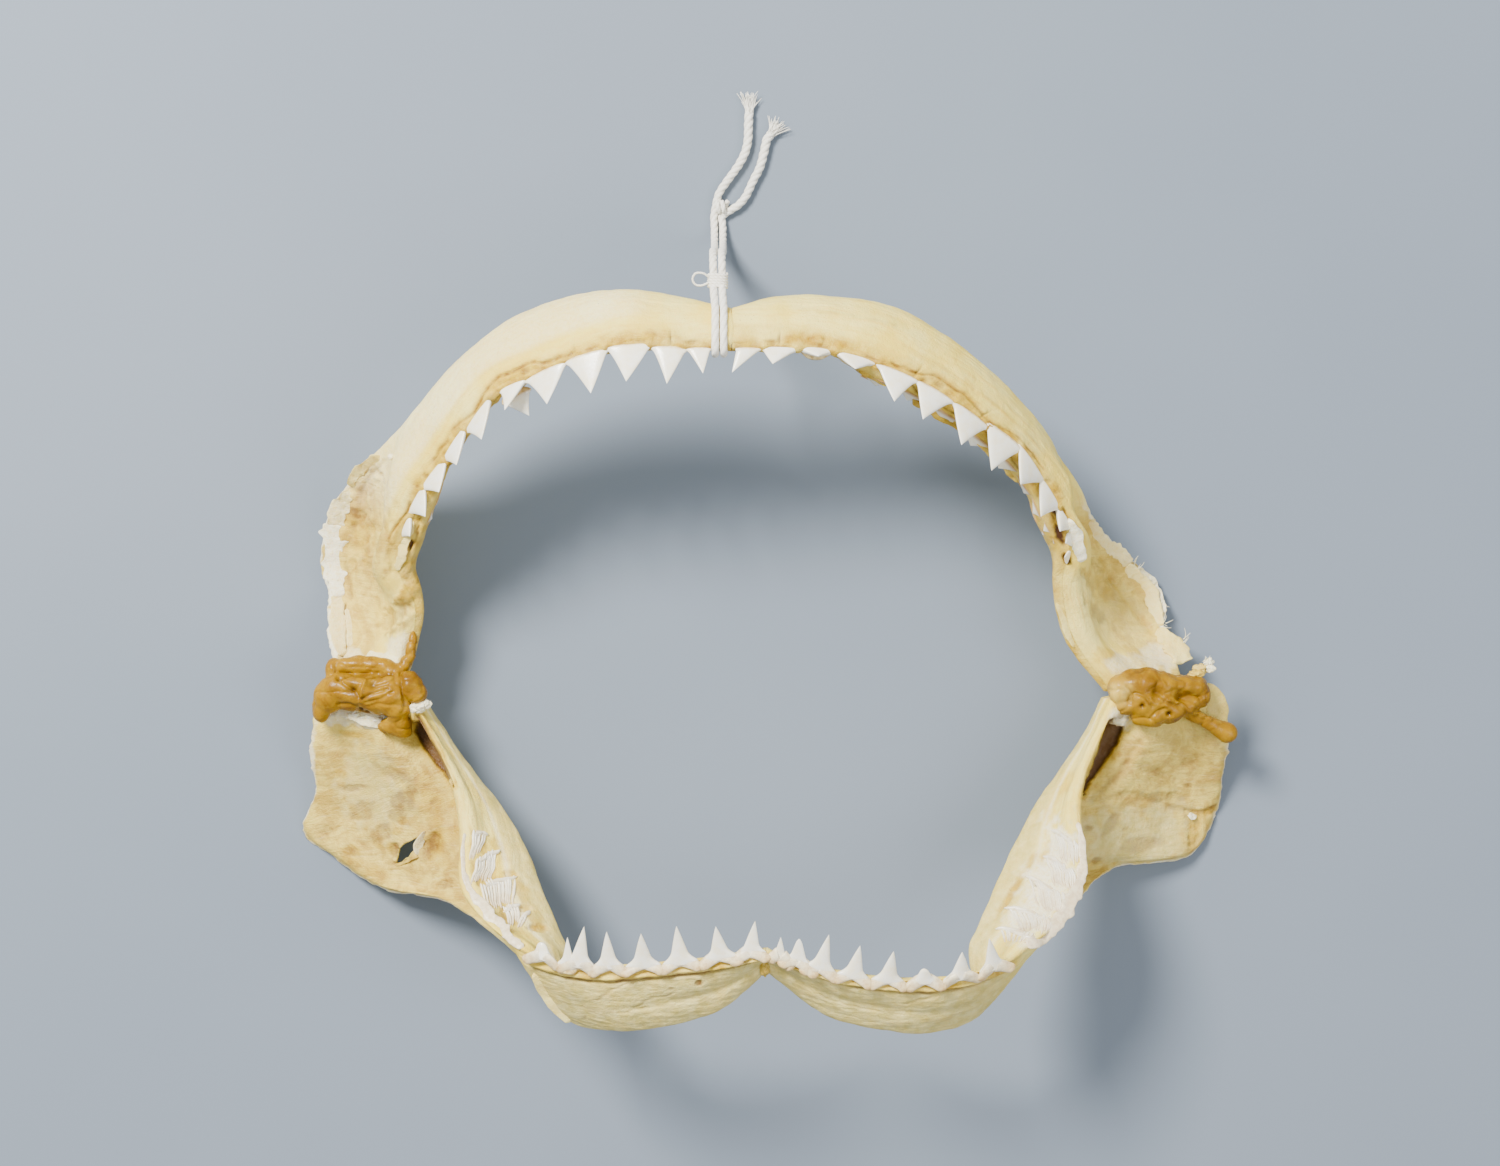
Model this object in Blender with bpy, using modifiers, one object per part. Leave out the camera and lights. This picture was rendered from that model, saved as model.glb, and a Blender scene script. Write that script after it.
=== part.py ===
"""A dried requiem shark jaw, laid on its back with the mouth gaping upward.

Four cartilages make the jaw: an upper and a lower one on each side, each with
its row of teeth.  Lumps of amber resin hold the two jaw joints, and a length of
cotton twine is tied round the front of the upper jaw.

Lengths are in millimetres until a mesh is made.  X runs to the jaw's own left
(the right of the picture), Y from the lower jaw to the upper jaw, and Z up from
the floor.  The rails below are plan drawings, made as the jaw looks from an eye
straight above it: `true_place` undoes that perspective.
"""
import math

import bmesh
import bpy
import numpy as np
from mathutils import Vector
from mathutils.geometry import convex_hull_2d

# ---------------------------------------------------------------- driving sizes
MM = 0.001
EYE_HEIGHT = 1100.0        # eye above the floor, for the plan drawings
DRAWN_HEIGHT = 50.0        # height at which the plan drawings are at true scale
CENTRE = (5.4, -29.5)      # middle of the jaw's outline, which becomes the origin
FIT_GAP = 0.35             # clearance between solids that touch
FLOOR_DEPTH = 20.0         # thickness of the cutter that makes the resting flats

LENGTHWISE = 35            # rings along one cartilage

# ---------------------------------------------------------------- upper jaw
# Rails run from the symphysis at the front to the jaw joint at the rear.
UPPER_TOOTH_EDGE = {
    "left": [(-7.5, 92, 100), (-27.5, 91.5, 100), (-47.5, 92.5, 99), (-66.5, 88, 96),
             (-84, 80.5, 91), (-98.5, 73.5, 85), (-109, 60.5, 77), (-118, 47, 69),
             (-127, 34.5, 61), (-133.5, 20.5, 52), (-137.5, 6, 45), (-131, -8.5, 40),
             (-132, -23.5, 35), (-136.5, -40.5, 32)],
    "right": [(-6.7, 92, 100), (10, 91.5, 100), (29, 90.5, 99), (47, 86, 97),
              (64.5, 79, 93), (80, 70, 87), (93, 60.5, 80), (104.5, 51, 73),
              (113, 38.5, 65), (120, 26.5, 58), (125, 15, 51), (122, -1, 44),
              (126.5, -21.5, 38), (140, -41, 33)],
}
UPPER_BACK_EDGE = {
    "left": [(-7.5, 106, 86), (-27.5, 111, 82), (-47.5, 114, 80), (-67.5, 112.5, 76),
             (-88, 105.5, 70), (-105.5, 93.5, 62), (-121, 79, 53), (-133.5, 63.5, 43),
             (-147.5, 48, 27), (-160.5, 30.5, 8), (-166, 11, -0.5), (-163.5, -6.5, 6),
             (-163.5, -23.5, 16), (-157.5, -39.5, 24)],
    "right": [(-6.7, 106, 86), (11.5, 111.5, 82), (35, 111.5, 80), (56.5, 107, 76),
              (76, 96, 70), (93.5, 82, 63), (107, 68, 55), (118, 52.5, 46),
              (128, 37, 36), (132.5, 24.5, 26), (142.5, 13, 10), (156, 0.5, -0.5),
              (162.5, -20.5, 10), (168.5, -37, 22)],
}
# A section's points go round it from the tooth edge, over the outer face to the
# back edge, and home over the inner face: (share of the way from tooth edge to
# back edge, height over that line in mm).
UPPER_SECTIONS = {
    "bar": [(0, 0), (0.06, 2), (0.22, 4.5), (0.45, 6), (0.7, 5.5), (0.9, 3), (0.99, 0.5),
            (1, -2.5), (0.9, -6), (0.7, -8), (0.42, -7.5), (0.2, -5), (0.04, -2)],
    "open_bar": [(0, 0), (0.05, 2), (0.2, 4), (0.45, 5.5), (0.7, 5), (0.9, 3), (0.99, 0.5),
                 (1, -2.5), (0.85, -6), (0.6, -8.5), (0.3, -10), (0.05, -9.5), (-0.04, -4)],
    "shoulder": [(0, 0), (0.05, 3), (0.18, 6), (0.36, 7.5), (0.52, 4), (0.72, -1), (1, 0.5),
                 (1, -1), (0.74, -4), (0.52, -8), (0.28, -10), (0.06, -8), (-0.05, -3.5)],
    "over_plate": [(0, 0), (0.03, 3), (0.1, 5.5), (0.18, 5), (0.28, -2), (0.6, -4), (0.99, 0.5),
                   (1, -0.8), (0.7, -7), (0.4, -9), (0.2, -11), (0.02, -9), (-0.06, -4)],
    "plate": [(0, 0), (0.06, 3), (0.18, 3), (0.35, -1), (0.55, -3), (0.8, -2), (0.98, 1),
              (1, -0.7), (0.78, -5), (0.5, -7), (0.25, -7), (0.05, -6), (-0.03, -3)],
    "knuckle": [(0, 0), (0.08, 3.5), (0.25, 4.5), (0.45, 4.5), (0.65, 4), (0.85, 3), (0.99, 0.5),
                (1, -2), (0.8, -6), (0.55, -7.5), (0.3, -7.5), (0.08, -6), (-0.03, -3)],
}
REAR_SECTIONS = ["shoulder", "over_plate", "over_plate", "plate", "plate", "knuckle"]
UPPER_STATIONS = {
    "left": ["bar"] * 8 + REAR_SECTIONS,
    "right": ["bar"] * 3 + ["open_bar"] * 5 + REAR_SECTIONS,
}

# ---------------------------------------------------------------- lower jaw
# Rails run from the jaw joint to the symphysis.
ORAL_EDGE = {
    "left": [(-134.5, -45.5, 40), (-125.5, -59.5, 43), (-118, -73.5, 48), (-113.5, -89.5, 56),
             (-113, -104, 63), (-113, -118, 70), (-106.5, -129, 78), (-95.5, -139, 86),
             (-82, -146, 93), (-60.5, -149.5, 98), (-33, -148.5, 101), (-11.5, -146, 103),
             (5.9, -144, 104)],
    "right": [(143.5, -45.5, 40), (136.5, -60, 43), (130.5, -75, 48), (128.5, -89.5, 56),
              (130.5, -104, 63), (129.5, -118, 70), (121.5, -131, 78), (110, -141, 86),
              (98.5, -148.5, 93), (76, -154.5, 98), (49, -154.5, 101), (25.5, -150, 103),
              (6.6, -144, 104)],
}
KEEL = {
    "left": [(-127.5, -44.5, 28), (-120.5, -56, 27), (-110, -72, 31), (-97, -88, 38),
             (-88, -103.5, 46), (-81.5, -119.5, 54), (-76, -133.5, 61), (-71, -146, 65),
             (-68.5, -170, 72), (-50.5, -173.5, 80), (-30.5, -171, 83), (-11, -165, 86),
             (5.9, -150, 92)],
    "right": [(138, -44.5, 28), (132.5, -56, 27), (122, -72, 31), (111, -88, 38),
              (102.5, -103.5, 46), (96, -118, 54), (90, -132, 61), (86, -145, 65),
              (88, -168.5, 72), (66.5, -174.5, 80), (45, -172, 83), (24, -165.5, 86),
              (6.6, -150, 92)],
}
# The free margin of the rear blade, which runs into the outer face of the chin.
BLADE_MARGIN = {
    "left": [(-168.5, -47, 26), (-171, -62, 18), (-168.5, -80, 8), (-172.5, -96.5, -0.5),
             (-158, -109, 2), (-142.5, -118.5, 10), (-118, -124, 34), (-90, -145.5, 72),
             (-81, -159.5, 80), (-58, -166, 90), (-32, -163, 93), (-11.5, -158, 95),
             (5.9, -147.5, 98)],
    "right": [(180, -41.5, 26), (185.5, -57.5, 18), (183.5, -74, 7), (180.5, -89, -0.5),
              (169.5, -106, 2), (141, -110.5, 14), (123, -129, 56), (107, -147.5, 72),
              (97, -159, 80), (73, -167, 90), (47, -164.5, 93), (25.5, -158.5, 95),
              (6.6, -147.5, 98)],
}
# Station by station from the joint: how open the muscle fossa is, and the
# thickness of the wall that carries the teeth.
FOSSA = {
    "left": [0, 0.8, 1, 1, 1, 1, 0.8, 0.1, 0, 0, 0, 0, 0],
    "right": [0, 0.8, 1, 1, 1, 1, 0.3, 0, 0, 0, 0, 0, 0],
}
TOOTH_WALL = [5, 4, 4.5, 5.5, 6.5, 7, 7, 7, 7, 7, 7, 7, 5]
BLADE_RIDGE = [8, 7, 4, 1, 0, 0, 0, 0, 0, 0, 0, 0, 0]   # rise of the blade beside the fossa
BLADE_WALL = 3.2
BLADE_RIM = 1.4
CHIN_CROWN = 1.5           # how far the outer face of the chin bulges at its middle
# A section's inner face, from the oral edge to the keel, and its back, from the
# keel to the margin: (share of the way, bulge).  The inner face's bulge is a share
# of the tooth wall's thickness, the back's is in mm.
INNER_FACE = [(0.1, 0.5), (0.4, 0.35), (0.75, 0.45)]
BACK_FACE = [(0.06, 1.8), (0.4, 2.4), (0.75, 1.6)]
CHIN_FACE = [0.1, 0.27, 0.45, 0.62, 0.8, 0.94]    # shares of the way from margin to oral edge
TORN_HOLE = [(-137.5, -109), (-136, -103), (-132, -100), (-128.5, -98.5), (-130.5, -104.5),
             (-133.5, -107)]

# ---------------------------------------------------------------- teeth
# Each tooth: place of its middle along the edge from the rail's first point,
# width, height, reach into the mouth and lean along the edge, the last two as
# seen from the eye.
UPPER_TEETH = {
    "left": [(12, 8.5, 10.5, 9.5, -1.5), (23, 12.5, 14.5, 13.5, -0.5), (38, 16.5, 15, 13.5, 1.5),
             (54.5, 16.5, 16, 14.5, 2), (71.5, 17, 15, 12, 4), (86, 11, 13, 8, 6),
             (105, 17, 13, 7, 7), (121, 14.5, 12, 4.5, 6.5), (137, 15, 12, 5.5, 4),
             (150.5, 12, 11, 5.5, 4), (163.5, 9, 8, 2.5, 3)],
    "right": [(6, 9, 10.5, 9, -6), (17.5, 13, 8, 6, -2.5), (31, 11, 5, 2.5, 1), (46, 14, 8, 4.5, 1),
              (63, 16, 13.5, 11, 2.5), (79.5, 16, 14, 12, 0.5), (97, 17.5, 14.5, 12, 3),
              (114, 16, 14, 12.5, 3), (130.5, 16, 13, 7.5, 3.5), (145.5, 13.5, 12, 7, 5.5),
              (158, 10, 8, 3, 3.5), (167.5, 7, 6, 2.5, 1), (175, 6, 5, 2, 1)],
}
LOWER_TEETH = {
    "left": [(131.5, 11, 10.5, 10, -2.5), (145.5, 13, 17, 16, 1.5), (157, 10, 15.5, 14.5, 0),
             (170, 14, 15, 13.5, 0.5), (184, 14, 16, 15, 0.5), (199, 14, 14, 13, 0),
             (210, 7.5, 14, 13, 3.5)],
    "right": [(133, 10, 14, 12.5, -1), (146.5, 14, 12, 10.5, -2), (160, 13, 8, 7, 0.5),
              (174, 13, 14, 12.5, -1), (187, 13, 14, 13, 0), (199.5, 10, 15.5, 14.5, 0.5),
              (208, 7, 12, 11, 3), (215, 5, 9, 8, 2.5)],
}
# Levels up a tooth: share of its height, of its width and of its thickness.
BLADE_LEVELS = [(-0.28, 0.88, 0.9), (0, 1, 1), (0.5, 0.5, 0.72)]
CUSP_LEVELS = [(-0.25, 0.9, 0.9), (0.02, 1, 1), (0.32, 0.36, 0.7)]
LENS = [(-0.5, 0), (-0.22, 0.5), (0.22, 0.5), (0.5, 0), (0.22, -0.5), (-0.22, -0.5)]
FULL_SIZED_TOOTH = 12      # width below which a tooth is also thinner
BLADE_THICKNESS = 3.6
CUSP_THICKNESS = 4.0

# ---------------------------------------------------------------- resin
# Blobs: centre, then half sizes along X, Y and Z.
RESIN = {
    "left": [(-149, -43.5, 38, 19, 7.5, 8), (-150.5, -32.5, 35, 12.5, 5, 6.5),
             (-138.5, -51.5, 40, 6.5, 6.5, 6), (-163, -44, 34, 6.5, 8.5, 6.5),
             (-131.5, -41.5, 40, 5.5, 6.5, 5.5)],
    "right": [(158, -42.5, 36, 18, 7.5, 8), (155, -50.5, 39, 8, 6, 6.5), (171.5, -39.5, 32, 7.5, 6.5, 6.5),
              (145, -44.5, 38, 6.5, 7, 6), (153, -34, 34, 7.5, 6, 6.5)],
}
RESIN_DRIP = [(168, -48, 33, 3.2), (174, -51.5, 31.5, 2.9), (180, -55, 30, 2.8), (186, -58.5, 28.5, 3.6)]
RESIN_GRAIN = 3.4          # size of the facets the resin is modelled with

# ---------------------------------------------------------------- cotton twine
TWINE = 2.9                # diameter
TURN_TWINE = 2.7           # diameter where it is pulled tight round the jaw
TAIL_TWINE = 4.0           # diameter where it has come unlaid
STRANDS = {"left": -1, "right": 1}
TURN_AT = {"left": -12.9, "right": -9.75}
BINDING = (-12.2, 114.0, 85.0)
BINDING_SIZE = (7.8, 6.4, 7.4)
TURN_GAP = 0.65            # room for the tube's straight runs over a rounded bar
STRAND_SPACING = 3.3
# How the twine drops from the binding to the floor: distance outward, height.
FALL = [(0, 85), (2.6, 84.6), (5.3, 81.8), (8, 75.5), (9.3, 67), (10.4, 54), (12, 39), (14.5, 23),
        (18.5, 10.5), (23.3, 4), (28, 1.8), (31.6, 1.6)]
TWINE_END_GAP = 0.9        # room for the slant of a twine's cut end
FALL_END_X = {"left": -14.7, "right": -11.2}
KNOT = (-11.4, 153.0, 2.7)
KNOT_SIZE = (8.4, 4.4, 5.2)
TAIL_HEIGHT = 2.1
TAILS = {
    "left": [(-12.8, 149.8), (-11.5, 153), (-8.6, 157.2), (-4.7, 162.6), (-2, 167.7),
             (-0.8, 172.8), (-0.6, 178.2), (-0.4, 183.3)],
    "right": [(-5.3, 146.8), (-3.7, 148.2), (-1.4, 151.2), (1.2, 156.8), (3.9, 162.2),
              (5.5, 168.1), (6.6, 172.8), (8.2, 175.1)],
}


# ---------------------------------------------------------------- mathematics
def smooth(knots, at):
    """Values of a curve through evenly numbered knots, at the given numbers."""
    knots = np.asarray(knots, float)
    flat = knots.reshape(len(knots), -1)
    ends = np.vstack([2 * flat[0] - flat[1], flat, 2 * flat[-1] - flat[-2]])
    at = np.asarray(at, float)
    first = np.clip(np.floor(at).astype(int), 0, len(flat) - 2)
    t = (at - first)[:, None]
    a, b, c, d = (ends[first + k] for k in range(4))
    value = b + 0.5 * t * (c - a + t * (2 * a - 5 * b + 4 * c - d + t * (3 * (b - c) + d - a)))
    return value.reshape((len(at),) + knots.shape[1:])


def unit(v):
    return v / np.linalg.norm(v, axis=-1, keepdims=True)


def measured(line):
    """A line of points, and how far along it each point is."""
    steps = np.linalg.norm(np.diff(line, axis=0), axis=1)
    return line, np.concatenate([[0], np.cumsum(steps)])


def true_place(points):
    """Real places of points drawn in plan from the eye."""
    points = np.array(points, float)
    scale = (EYE_HEIGHT - points[..., 2:]) / (EYE_HEIGHT - DRAWN_HEIGHT)
    points[..., :2] = points[..., :2] * scale
    return points


def away(vectors, line, reference):
    """The part of each vector that is square to a line, pointing away from a reference."""
    line = unit(line)
    square = vectors - np.sum(vectors * line, -1, keepdims=True) * line
    square = unit(square)
    side = np.sign(np.sum(square * reference, -1, keepdims=True))
    return -square * side


# ---------------------------------------------------------------- cartilages
def upper_rings(side, count):
    """Rings of points round the upper cartilage, from the symphysis to the joint."""
    stations = UPPER_STATIONS[side]
    at = np.linspace(0, len(stations) - 1, count)
    tooth = true_place(smooth(UPPER_TOOTH_EDGE[side], at))
    back = true_place(smooth(UPPER_BACK_EDGE[side], at))
    across = back - tooth
    along = np.gradient((tooth + back) / 2, axis=0)
    along[0] = (1, 0, 0)
    face = np.cross(across, along)
    face = unit(face * np.sign(face[:, 2:]))
    shape = smooth([UPPER_SECTIONS[name] for name in stations], at)
    return tooth[:, None] + shape[..., :1] * across[:, None] + shape[..., 1:] * face[:, None]


def lower_rings(side, count):
    """Rings of points round the lower cartilage, from the joint to the symphysis."""
    at = np.linspace(0, len(FOSSA[side]) - 1, count)
    oral, keel, margin = (true_place(smooth(rail[side], at))
                          for rail in (ORAL_EDGE, KEEL, BLADE_MARGIN))
    fossa = smooth(FOSSA[side], at).clip(0, 1)[:, None]
    wall = smooth(TOOTH_WALL, at)[:, None]
    ridge = smooth(BLADE_RIDGE, at)[:, None]
    inner = away(margin - oral, keel - oral, margin - oral)      # out of the inner face
    under = away(oral - keel, margin - keel, oral - keel)        # out of the blade's back
    outer = away(keel - oral, margin - oral, keel - oral)        # out of the outer face

    floor = BLADE_WALL - BACK_FACE[0][1]                         # from blade line to fossa floor

    def between(a, b, share, push=0.0):
        return a + share * (b - a) + push

    ring = [oral]
    ring += [between(oral, keel, share, inner * wall * bulge) for share, bulge in INNER_FACE]
    ring += [keel + inner]
    ring += [between(keel, margin, share, under * bulge) for share, bulge in BACK_FACE]
    ring += [margin + under * fossa * BLADE_RIM / 2]
    # the outer face: flush on the chin, sunk behind the tooth wall where the fossa is
    flush = [between(margin, oral, share, outer * CHIN_CROWN * 4 * share * (1 - share))
             for share in CHIN_FACE]
    sunk = [
        margin - under * BLADE_RIM / 2,
        between(margin, keel, 0.28, -under * floor),
        between(margin, keel, 0.62, -under * (floor + ridge)),
        between(keel, (oral + margin) / 2, 0.16),
        between(oral, keel, 0.5, -inner * wall * 0.6),
        between(oral, keel, 0.1, -inner * wall * 0.5),
    ]
    ring += [a + fossa * (b - a) for a, b in zip(flush, sunk)]
    return np.stack(ring, axis=1)


def skin(name, rings):
    """A closed mesh over rings of points, with a flat cap at each end."""
    mesh = bpy.data.meshes.new(name)
    work = bmesh.new()
    rows = [[work.verts.new(Vector(p) * MM) for p in ring] for ring in rings]
    for row, following in zip(rows, rows[1:]):
        for k in range(len(row)):
            n = (k + 1) % len(row)
            work.faces.new((row[k], row[n], following[n], following[k]))
    work.faces.new(rows[0][::-1])
    work.faces.new(rows[-1])
    bmesh.ops.recalc_face_normals(work, faces=work.faces)
    bmesh.ops.triangulate(work, faces=[f for f in work.faces if len(f.verts) > 4])
    work.to_mesh(mesh)
    work.free()
    return mesh


def tooth(work, base, along, inward, size, levels, thickness):
    """One tooth: lens-shaped levels that narrow to a tip."""
    width, height, reach, lean = size
    rise = math.sqrt(max(height ** 2 - reach ** 2 - lean ** 2, 1.0))
    up = inward * reach + along * lean + np.array((0, 0, rise))
    thick = unit(np.cross(along, up)) * thickness * min(1.0, width / FULL_SIZED_TOOTH)
    rows = []
    for level, wide, deep in levels:
        middle = base + up * level
        lens = [middle + along * width * wide * x + thick * deep * y for x, y in LENS]
        rows.append([work.verts.new(Vector(p) * MM) for p in lens])
    tip = work.verts.new(Vector(base + up) * MM)
    faces = [work.faces.new(rows[0])]
    for row, following in zip(rows, rows[1:]):
        for k in range(len(LENS)):
            n = (k + 1) % len(LENS)
            faces.append(work.faces.new((row[n], row[k], following[k], following[n])))
    for k in range(len(LENS)):
        faces.append(work.faces.new((rows[-1][(k + 1) % len(LENS)], rows[-1][k], tip)))
    bmesh.ops.recalc_face_normals(work, faces=faces)


def tooth_row(name, rail, teeth, levels, thickness):
    """A mesh of all the teeth along one edge, each leaning in over the mouth."""
    edge, run = measured(true_place(smooth(rail, np.linspace(0, len(rail) - 1, 400))))

    def on_edge(distance):
        return np.array([np.interp(distance, run, edge[:, k]) for k in range(3)])

    work = bmesh.new()
    for place, *size in teeth:
        base = on_edge(place)
        along = unit(on_edge(place + 3) - on_edge(place - 3))
        inward = unit(np.array((-along[1], along[0], 0.0)))
        inward *= -np.sign(inward @ base)
        tooth(work, base, along, inward, size, levels, thickness)
    mesh = bpy.data.meshes.new(name)
    work.to_mesh(mesh)
    work.free()
    return mesh


# ---------------------------------------------------------------- resin
def blobs(name, side):
    """The overlapping balls that a lump of resin is merged from."""
    balls = [((x, y, z), (rx, ry, rz)) for x, y, z, rx, ry, rz in RESIN[side]]
    if side == "right":
        drip = smooth(RESIN_DRIP, np.linspace(0, len(RESIN_DRIP) - 1, 12))
        balls += [(tuple(p[:3]), (p[3],) * 3) for p in drip]
    work = bmesh.new()
    for centre, radii in balls:
        ball = bmesh.ops.create_uvsphere(work, u_segments=24, v_segments=16, radius=1.0)
        place = true_place(centre)
        for v in ball["verts"]:
            v.co = Vector([(p + r * c) * MM for p, r, c in zip(place, radii, v.co)])
    mesh = bpy.data.meshes.new(name)
    work.to_mesh(mesh)
    work.free()
    return mesh


def merged(name, mesh, collection):
    """The outer surface of overlapping balls, as one mesh."""
    rough = add(name, mesh, collection, None)
    remesh = rough.modifiers.new("merge", "REMESH")
    remesh.mode = "VOXEL"
    remesh.voxel_size = RESIN_GRAIN * MM
    settle = rough.modifiers.new("settle", "SMOOTH")
    settle.factor = 0.5
    settle.iterations = 2
    result = baked(rough)
    bpy.data.objects.remove(rough, do_unlink=True)
    return result


def swollen(mesh, by):
    """A copy of a mesh with every point moved outward."""
    copy = mesh.copy()
    for v, n in zip(copy.vertices, [v.normal.copy() for v in mesh.vertices]):
        v.co += n * by * MM
    return copy


# ---------------------------------------------------------------- twine
def tube(name, points, diameter, collection, material):
    """A cord as a mesh tube with closed ends."""
    curve = bpy.data.curves.new(name, "CURVE")
    curve.dimensions = "3D"
    curve.bevel_depth = diameter / 2 * MM
    curve.bevel_resolution = 2
    curve.use_fill_caps = True
    spline = curve.splines.new("POLY")
    spline.points.add(len(points) - 1)
    for point, place in zip(spline.points, points):
        point.co = (*(Vector(place) * MM), 1.0)
    thing = bpy.data.objects.new(name, curve)
    collection.objects.link(thing)
    curve.materials.append(material)
    return thing


def even(points, spacing):
    """Points a given distance apart along the smooth curve through some points."""
    fine, run = measured(smooth(points, np.linspace(0, len(points) - 1, 600)))
    stops = np.linspace(0, run[-1], max(3, round(run[-1] / spacing)))
    return np.stack([np.interp(stops, run, fine[:, k]) for k in range(fine.shape[1])], axis=1)


def turn_route(side):
    """The twine's way from the binding round the bar of the upper jaw and back to it."""
    x = TURN_AT[side]
    rings = upper_rings("left", 200)
    ring = rings[np.argmin(np.abs(rings[:, :, 0].mean(axis=1) - x))][:, 1:]
    edges = np.roll(ring, -1, 0) - ring
    out = unit(np.stack([edges[:, 1], -edges[:, 0]], 1))
    if np.sum((ring - ring.mean(0)) * out) < 0:
        out = -out
    clear = TURN_TWINE / 2 + TURN_GAP
    wide = np.vstack([ring + out * clear, np.roll(ring, -1, 0) + out * clear])
    bottom = BINDING[1] - BINDING_SIZE[1] / 2 - TWINE_END_GAP
    ends = [(bottom, BINDING[2] + STRAND_SPACING / 2), (bottom, BINDING[2] - STRAND_SPACING / 2)]
    corners = np.vstack([wide, ends])
    hull = [corners[k] for k in convex_hull_2d([tuple(c) for c in corners])]
    first = min(range(len(hull)), key=lambda k: np.linalg.norm(hull[k] - ends[0]))
    hull = hull[first:] + hull[:first]
    if np.linalg.norm(hull[1] - ends[1]) < 0.1:
        hull = [hull[0]] + hull[:0:-1]
    at_binding = BINDING[0] + STRANDS[side] * STRAND_SPACING / 2
    route = [(x, *p) for p in hull]
    route[0] = (at_binding, *ends[0])
    route[-1] = (at_binding, *ends[1])
    return route


def fall_route(side):
    """The twine's way from the binding down to the knot on the floor."""
    start = BINDING[0] + STRANDS[side] * STRAND_SPACING / 2
    top = BINDING[1] + BINDING_SIZE[1] / 2 + TWINE_END_GAP
    reach = FALL[-1][0]
    return [(start + (FALL_END_X[side] - start) * out / reach, top + out, height)
            for out, height in FALL]


def rounded_block(name, centre, size, collection, material):
    """A block whose corners are rounded off, for the binding and the knot."""
    work = bmesh.new()
    bmesh.ops.create_cube(work, size=1.0)
    for v in work.verts:
        v.co = Vector([(c + s * k) * MM for c, s, k in zip(centre, size, v.co)])
    mesh = bpy.data.meshes.new(name)
    work.to_mesh(mesh)
    work.free()
    block = add(name, mesh, collection, material)
    edge = block.modifiers.new("round", "BEVEL")
    edge.width = min(size) * 0.3 * MM
    edge.segments = 2
    return block


# ---------------------------------------------------------------- scene
def principled(name, colour, roughness, metallic=0.0):
    material = bpy.data.materials.new(name)
    material.use_nodes = True
    shader = material.node_tree.nodes["Principled BSDF"]
    shader.inputs["Base Color"].default_value = (*colour, 1.0)
    shader.inputs["Roughness"].default_value = roughness
    shader.inputs["Metallic"].default_value = metallic
    return material


def add(name, mesh, collection, material):
    thing = bpy.data.objects.new(name, mesh)
    collection.objects.link(thing)
    if material:
        mesh.materials.append(material)
    return thing


def baked(thing):
    """The mesh of an object as its modifiers leave it."""
    graph = bpy.context.evaluated_depsgraph_get()
    return bpy.data.meshes.new_from_object(thing.evaluated_get(graph))


def cutter(name, mesh, collection):
    tool = add(name, mesh, collection, None)
    tool.hide_render = True
    tool.display_type = "WIRE"
    return tool


def boolean(thing, tool, operation):
    step = thing.modifiers.new(f"{operation} {tool.name}".lower(), "BOOLEAN")
    step.operation = operation
    step.object = tool
    step.use_self = operation == "UNION"


def prism(name, outline, low, high):
    """A flat outline drawn out between two heights."""
    work = bmesh.new()
    places = true_place([(x, y, (low + high) / 2) for x, y in outline])
    face = work.faces.new([work.verts.new(Vector((x, y, low)) * MM) for x, y, _ in places])
    grown = bmesh.ops.extrude_face_region(work, geom=[face])
    for v in grown["geom"]:
        if isinstance(v, bmesh.types.BMVert):
            v.co.z = high * MM
    bmesh.ops.recalc_face_normals(work, faces=work.faces)
    mesh = bpy.data.meshes.new(name)
    work.to_mesh(mesh)
    work.free()
    return mesh


def clear_scene():
    for thing in list(bpy.data.objects):
        bpy.data.objects.remove(thing, do_unlink=True)


def new_collection(name):
    collection = bpy.data.collections.new(name)
    bpy.context.scene.collection.children.link(collection)
    return collection


def build_jaw(jaw, tools):
    cartilage = principled("cartilage", (0.78, 0.68, 0.47), 0.45)
    amber = principled("resin", (0.58, 0.33, 0.06), 0.2)
    floor = cutter("floor", prism("floor", [(-300, -300), (300, -300), (300, 300), (-300, 300)],
                                  -FLOOR_DEPTH, 0), tools)
    hole = cutter("torn_hole", prism("torn_hole", TORN_HOLE, -5, 40), tools)
    for side in ("left", "right"):
        lump = merged(f"resin_{side}", blobs("balls", side), jaw)
        add(f"resin_{side}", lump, jaw, amber)
        seat = cutter(f"seat_{side}", swollen(lump, FIT_GAP), tools)
        blades = tooth_row("blades", UPPER_TOOTH_EDGE[side], UPPER_TEETH[side],
                           BLADE_LEVELS, BLADE_THICKNESS)
        cusps = tooth_row("cusps", ORAL_EDGE[side], LOWER_TEETH[side],
                          CUSP_LEVELS, CUSP_THICKNESS)
        upper = add(f"upper_jaw_{side}", skin("upper", upper_rings(side, LENGTHWISE)), jaw, cartilage)
        lower = add(f"lower_jaw_{side}", skin("lower", lower_rings(side, LENGTHWISE)), jaw, cartilage)
        boolean(upper, cutter(f"upper_teeth_{side}", blades, tools), "UNION")
        boolean(lower, cutter(f"lower_teeth_{side}", cusps, tools), "UNION")
        for cartilage_half in (upper, lower):
            boolean(cartilage_half, seat, "DIFFERENCE")
            boolean(cartilage_half, floor, "DIFFERENCE")
        if side == "left":
            boolean(lower, hole, "DIFFERENCE")


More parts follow.
